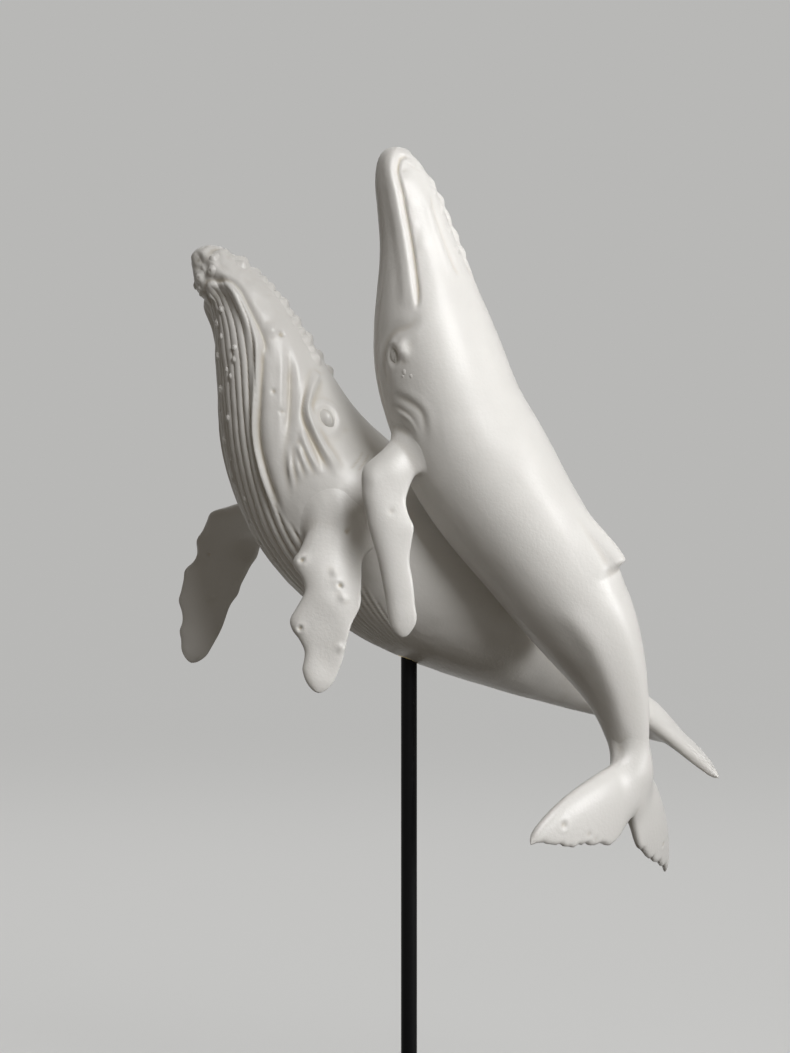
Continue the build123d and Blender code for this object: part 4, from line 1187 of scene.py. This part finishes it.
class PorcelainLook(PropertyGroup):
    """The porcelain's finish and the depth of its carving."""

    colour: FloatVectorProperty(
        name="Colour", description="Colour of the glaze", subtype="COLOR", default=(0.87, 0.855, 0.825)
    )
    # Painted shade: a darker, warmer colour that the folds take on in place of their shadow
    fold_shade_colour: FloatVectorProperty(
        name="Fold colour",
        description="Colour of the glaze shaded in folds",
        subtype="COLOR",
        default=(0.62, 0.56, 0.46,
    )
    )
    roughness: FloatProperty(
        name="Roughness",
        description="Roughness of the satin glaze",
        default=0.36,
        min=0,
        max=1,
    )
    pleat_spacing: FloatProperty(
        name="Pleat spacing", description="Distance between throat grooves", default=0.0037, unit="LENGTH"
    )
    pleat_depth: FloatProperty(
        name="Pleat depth",
        description="Depth of throat grooves",
        default=0.0015,
        unit="LENGTH",
    )
    flipper_fillet: FloatProperty(
        name="Flipper fillet", description="Round at a flipper's root", default=0.005, unit="LENGTH"
    )
    tubercle_radius: FloatProperty(
        name="Tubercle radius", description="Radius of the snout's knobs", default=0.0036, unit="LENGTH"
    )
    barnacle_radius: FloatProperty(
        name="Barnacle radius", description="Radius of the largest barnacles", default=0.0022, unit="LENGTH"
    )


class StageLook(PropertyGroup):
    """The plain studio round the figure."""

    floor_colour: FloatVectorProperty(
        name="Floor colour",
        description="Colour of floor and backdrop",
        subtype="COLOR",
        default=(0.66, 0.66, 0.65,
    )
    )
    key_power: FloatProperty(
        name="Key power",
        description="Power of the high softbox",
        default=3.6,
        unit="POWER",
    )
    side_power: FloatProperty(
        name="Side power",
        description="Power of the low side softbox",
        default=1.4,
        unit="POWER",
    )
    back_power: FloatProperty(
        name="Back power",
        description="Power of the softbox behind",
        default=8.0,
        unit="POWER",
    )
    ambient: FloatProperty(name="Ambient", description="Strength of the surrounding light", default=0.08)
    camera_distance: FloatProperty(
        name="Camera distance",
        description="How far the camera stands from the rod",
        default=1.2,
        unit="LENGTH",
    )
    camera_height: FloatProperty(
        name="Camera height", description="Height of the level camera", default=0.2384, unit="LENGTH"
    )
    camera_side: FloatProperty(
        name="Camera side",
        description="How far the camera stands to the right",
        default=-0.00525,
        unit="LENGTH",
    )
    view_height: FloatProperty(
        name="View height", description="Height of the picture at the rod", default=0.394875, unit="LENGTH"
    )


class WHALES_OT_casts(Operator):
    """Carve the bodies of both whales"""

    bl_idname = "whales.casts"
    bl_label = "Bodies"

    def execute(self, context):
        look = context.scene.porcelain_look
        for name, carve in CARVERS.items():
            grid_object(f"{name}_body_cast", [carve(look).skin()], f"{name}_body", porcelain(look))
        return {"FINISHED"}


class WHALES_OT_flippers(Operator):
    """Grow the four flippers out of the flanks"""

    bl_idname = "whales.flippers"
    bl_label = "Flippers"

    def execute(self, context):
        look = context.scene.porcelain_look
        for whale_name in WHALES:
            tree = search_tree(f"{whale_name}_body_cast")
            for side in ("left", "right"):
                node = f"{whale_name}_{side}_flipper"
                grid = flipper_blade(node).rooted(tree, look.flipper_fillet / MM)
                grid_object(f"{node}_cast", [grid], node, porcelain(look))
        return {"FINISHED"}


class WHALES_OT_back_fins(Operator):
    """Set the small hooked fins on the backs"""

    bl_idname = "whales.back_fins"
    bl_label = "Back fins"

    def execute(self, context):
        look = context.scene.porcelain_look
        for whale_name in WHALES:
            tree = search_tree(f"{whale_name}_body_cast")
            grid = fin_grid(whale_name, tree)
            grid_object(f"{whale_name}_back_fin_cast", [grid], f"{whale_name}_back_fin", porcelain(look))
        return {"FINISHED"}


class WHALES_OT_flukes(Operator):
    """Spread the tail flukes"""

    bl_idname = "whales.flukes"
    bl_label = "Flukes"

    def execute(self, context):
        look = context.scene.porcelain_look
        for whale_name in WHALES:
            tree = search_tree(f"{whale_name}_body_cast")
            points, faces = fluke_skin(whale_name, tree)
            node = f"{whale_name}_fluke"
            skin_object(f"{node}_cast", points, faces.tolist(), node, porcelain(look))
        return {"FINISHED"}


class WHALES_OT_eyes(Operator):
    """Set the eyes in their hollows"""

    bl_idname = "whales.eyes"
    bl_label = "Eyes"

    def execute(self, context):
        look = context.scene.porcelain_look
        for whale_name, (place, sizes) in EYES.items():
            tree = search_tree(f"{whale_name}_body_cast")
            whale = WHALES[whale_name]
            grids = [eye_grid(whale, tree, place, mirrored, *sizes) for mirrored in (False, True)]
            grid_object(f"{whale_name}_eyes_cast", grids, f"{whale_name}_eyes", porcelain(look))
        return {"FINISHED"}


class WHALES_OT_knobs(Operator):
    """Raise the tubercles and barnacles on the skin"""

    bl_idname = "whales.knobs"
    bl_label = "Tubercles and barnacles"

    def execute(self, context):
        look = context.scene.porcelain_look
        knob = look.tubercle_radius / MM
        shell = look.barnacle_radius / MM
        tall = TUBERCLE_HEIGHT_SHARES
        calf_knob = knob * CALF_TUBERCLE_SHARE
        calf_places = CALF_TUBERCLES + CALF_EYE_BUMPS
        rows = (
            ("mother", "mother_tubercles", MOTHER_TUBERCLES, knob, tall["mother"], 0.0),
            ("calf", "calf_tubercles", calf_places, calf_knob, tall["calf"], 0.0),
            ("mother", "mother_barnacles", MOTHER_BARNACLES, shell, *BARNACLE_SHARES),
        )
        for whale_name, node, places, radius, height_share, crater in rows:
            whale = WHALES[whale_name]
            tree = search_tree(f"{whale_name}_body_cast")
            grids = [
                knob_grid(whale, tree, (share, degrees), radius * size, radius * size * height_share, crater)
                for share, degrees, size in places
            ]
            grid_object(f"{node}_cast", grids, node, porcelain(look))
        return {"FINISHED"}


# Finishes of the stand and the fittings: colour, range of roughness, mottle, sizes of mottle and grain in
# metres, strength and distance of bump, metallic and specular, and the nodes that have each finish
STAND_FINISHES = {
    "Black coat": ((0.004, 0.004, 0.0045), (0.42, 0.54), 0.30, (0.004, 0.0004), (0.25, 0.0001), 0.0, 0.1),
    "Felt": ((0.045, 0.045, 0.05), (0.9, 1.0), 0.35, (0.0012, 0.0003), (0.9, 0.0006), 0.0, 0.5),
    "Zinc steel": ((0.62, 0.62, 0.60), (0.28, 0.42), 0.06, (0.002, 0.0002), (0.15, 0.00005), 1.0, 0.5),
    "Nylon": ((0.82, 0.81, 0.77), (0.45, 0.55), 0.03, (0.003, 0.0004), (0.10, 0.0001), 0.0, 0.5),
    "Brass": ((0.75, 0.58, 0.27), (0.25, 0.40), 0.08, (0.003, 0.0002), (0.15, 0.00005), 1.0, 0.5),
    "Epoxy": ((0.72, 0.63, 0.42), (0.12, 0.22), 0.05, (0.005, 0.0010), (0.08, 0.0002), 0.0, 0.5),
}
STAND_NODES = {
    "Black coat": ("base_disc", "rod"),
    "Felt": ("felt_foot",),
    "Zinc steel": ("base_screw", "joining_pin"),
    "Nylon": ("bearing_cap",),
    "Brass": ("socket_tube", "socket_plug"),
    "Epoxy": ("epoxy_bed",),
}


class WHALES_OT_stand(Operator):
    """Finish the stand and the fittings inside the figure"""

    bl_idname = "whales.stand"
    bl_label = "Stand and fittings"

    def execute(self, context):
        for name, values in STAND_FINISHES.items():
            material, _, _ = finish(name, *values)
            for node in STAND_NODES[name]:
                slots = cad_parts[node].data.materials
                slots.clear()
                slots.append(material)
        return {"FINISHED"}


FLOOR_RADIUS = 3.2
SWEEP_RADIUS = 1.6
WALL_HEIGHT = 5.0
STAGE_TURNS = 96
PAPER_ROUGHNESS = 0.9
PAPER_GLOW_SHARE = 0.7
AMBIENT_COLOUR = (1.0, 0.88, 0.72, 1)
SENSOR = 36.0
# Softboxes: place and size in metres, and spread in degrees
LAMPS = {
    "Key softbox": ((0.27, -0.61, 0.69), 0.36, 180),
    "Side softbox": ((1.50, -0.62, 0.42), 0.40, 70),
    "Back softbox": ((-0.10, 1.15, 1.40), 0.90, 180),
}
GLOSS_LAMPS = ("Key softbox", "Side softbox")
TARGET = Vector((0.0, 0.0, 0.27))


def stage_profile():
    """Radius and height of the round backdrop from its middle out and up."""
    sweep = [math.radians(5 * step) for step in range(19)]
    curve = [(FLOOR_RADIUS + SWEEP_RADIUS * math.sin(a), SWEEP_RADIUS * (1 - math.cos(a))) for a in sweep]
    return [*curve, (FLOOR_RADIUS + SWEEP_RADIUS, WALL_HEIGHT)]


def backdrop(colour):
    """A round floor that sweeps up into a wall, pale to the eye, and kept out of the light on the figure."""
    rings = stage_profile()
    points = [(0, 0, 0)]
    faces = []
    for radius, height in rings:
        turns = [2 * math.pi * count / STAGE_TURNS for count in range(STAGE_TURNS)]
        points += [(radius * math.cos(turn), radius * math.sin(turn), height) for turn in turns]
    for count in range(STAGE_TURNS):
        after = (count + 1) % STAGE_TURNS
        faces.append((0, 1 + count, 1 + after))
        for ring in range(len(rings) - 1):
            low, high = 1 + ring * STAGE_TURNS, 1 + (ring + 1) * STAGE_TURNS
            faces.append((low + count, high + count, high + after, low + after))
    mesh = bpy.data.meshes.new("Floor")
    mesh.from_pydata(points, [], faces)
    mesh.shade_smooth()
    material = bpy.data.materials.new("Floor paper")
    material.use_nodes = True
    nodes, links = material.node_tree.nodes, material.node_tree.links
    paper = nodes["Principled BSDF"]
    paper.inputs["Base Color"].default_value = (*colour, 1)
    paper.inputs["Roughness"].default_value = PAPER_ROUGHNESS
    pale = nodes.new("ShaderNodeEmission")
    pale.inputs["Color"].default_value = (*colour, 1)
    seen = nodes.new("ShaderNodeLightPath")
    either = nodes.new("ShaderNodeMath")
    either.operation = "MAXIMUM"
    links.new(seen.outputs["Is Camera Ray"], either.inputs[0])
    links.new(seen.outputs["Is Glossy Ray"], either.inputs[1])
    share = nodes.new("ShaderNodeMath")
    share.operation = "MULTIPLY"
    share.inputs[1].default_value = PAPER_GLOW_SHARE
    links.new(either.outputs[0], share.inputs[0])
    mix = nodes.new("ShaderNodeMixShader")
    links.new(share.outputs[0], mix.inputs["Fac"])
    links.new(paper.outputs["BSDF"], mix.inputs[1])
    links.new(pale.outputs["Emission"], mix.inputs[2])
    links.new(mix.outputs["Shader"], nodes["Material Output"].inputs["Surface"])
    mesh.materials.append(material)
    floor = bpy.data.objects.new("Floor", mesh)
    bpy.context.scene.collection.objects.link(floor)
    floor.visible_diffuse = False
    floor.visible_shadow = False


class WHALES_OT_stage(Operator):
    """Set the floor, the softboxes and the camera"""

    bl_idname = "whales.stage"
    bl_label = "Stage"

    def execute(self, context):
        scene = context.scene
        look = scene.stage_look
        backdrop(look.floor_colour)
        powers = (look.key_power, look.side_power, look.back_power)
        for power, (name, (place, size, spread)) in zip(powers, LAMPS.items()):
            lamp = bpy.data.lights.new(name, "AREA")
            lamp.shape = "DISK"
            lamp.size = size
            lamp.energy = power
            lamp.spread = math.radians(spread)
            box = bpy.data.objects.new(name, lamp)
            box.location = place
            box.visible_camera = False
            box.visible_glossy = name in GLOSS_LAMPS
            box.rotation_euler = (TARGET - box.location).to_track_quat("-Z", "Y").to_euler()
            scene.collection.objects.link(box)
        world = bpy.data.worlds.new("Studio")
        world.use_nodes = True
        sky = world.node_tree.nodes["Background"]
        sky.inputs["Color"].default_value = AMBIENT_COLOUR
        sky.inputs["Strength"].default_value = look.ambient
        scene.world = world
        view = bpy.data.cameras.new("Camera")
        view.sensor_width = SENSOR
        view.lens = SENSOR * look.camera_distance / look.view_height
        camera = bpy.data.objects.new("Camera", view)
        camera.location = (look.camera_side, -look.camera_distance, look.camera_height)
        camera.rotation_euler = (math.pi / 2, 0, 0)
        scene.collection.objects.link(camera)
        scene.camera = camera
        scene.view_settings.view_transform = "Standard"
        return {"FINISHED"}


class WHALES_PT_panel(Panel):
    """Lists the pieces of the whale figure and its stage"""

    bl_idname = "WHALES_PT_panel"
    bl_label = "Porcelain whales"
    bl_space_type = "VIEW_3D"
    bl_region_type = "UI"
    bl_category = "Whales"

    def draw(self, context):
        for step in STEPS:
            self.layout.operator(step.bl_idname)
        for look in (context.scene.porcelain_look, context.scene.stage_look):
            for name in look.__annotations__:
                self.layout.prop(look, name)


STEPS = (
    WHALES_OT_casts,
    WHALES_OT_flippers,
    WHALES_OT_back_fins,
    WHALES_OT_flukes,
    WHALES_OT_eyes,
    WHALES_OT_knobs,
    WHALES_OT_stand,
    WHALES_OT_stage,
)
CLASSES = (PorcelainLook, StageLook, *STEPS, WHALES_PT_panel)


def register():
    for item in CLASSES:
        bpy.utils.register_class(item)
    bpy.types.Scene.porcelain_look = PointerProperty(type=PorcelainLook)
    bpy.types.Scene.stage_look = PointerProperty(type=StageLook)


def unregister():
    del bpy.types.Scene.stage_look
    del bpy.types.Scene.porcelain_look
    for item in reversed(CLASSES):
        bpy.utils.unregister_class(item)


def main():
    register()
    bpy.ops.whales.casts()
    bpy.ops.whales.flippers()
    bpy.ops.whales.back_fins()
    bpy.ops.whales.flukes()
    bpy.ops.whales.eyes()
    bpy.ops.whales.knobs()
    bpy.ops.whales.stand()
    bpy.ops.whales.stage()


if __name__ == "__main__":
    main()
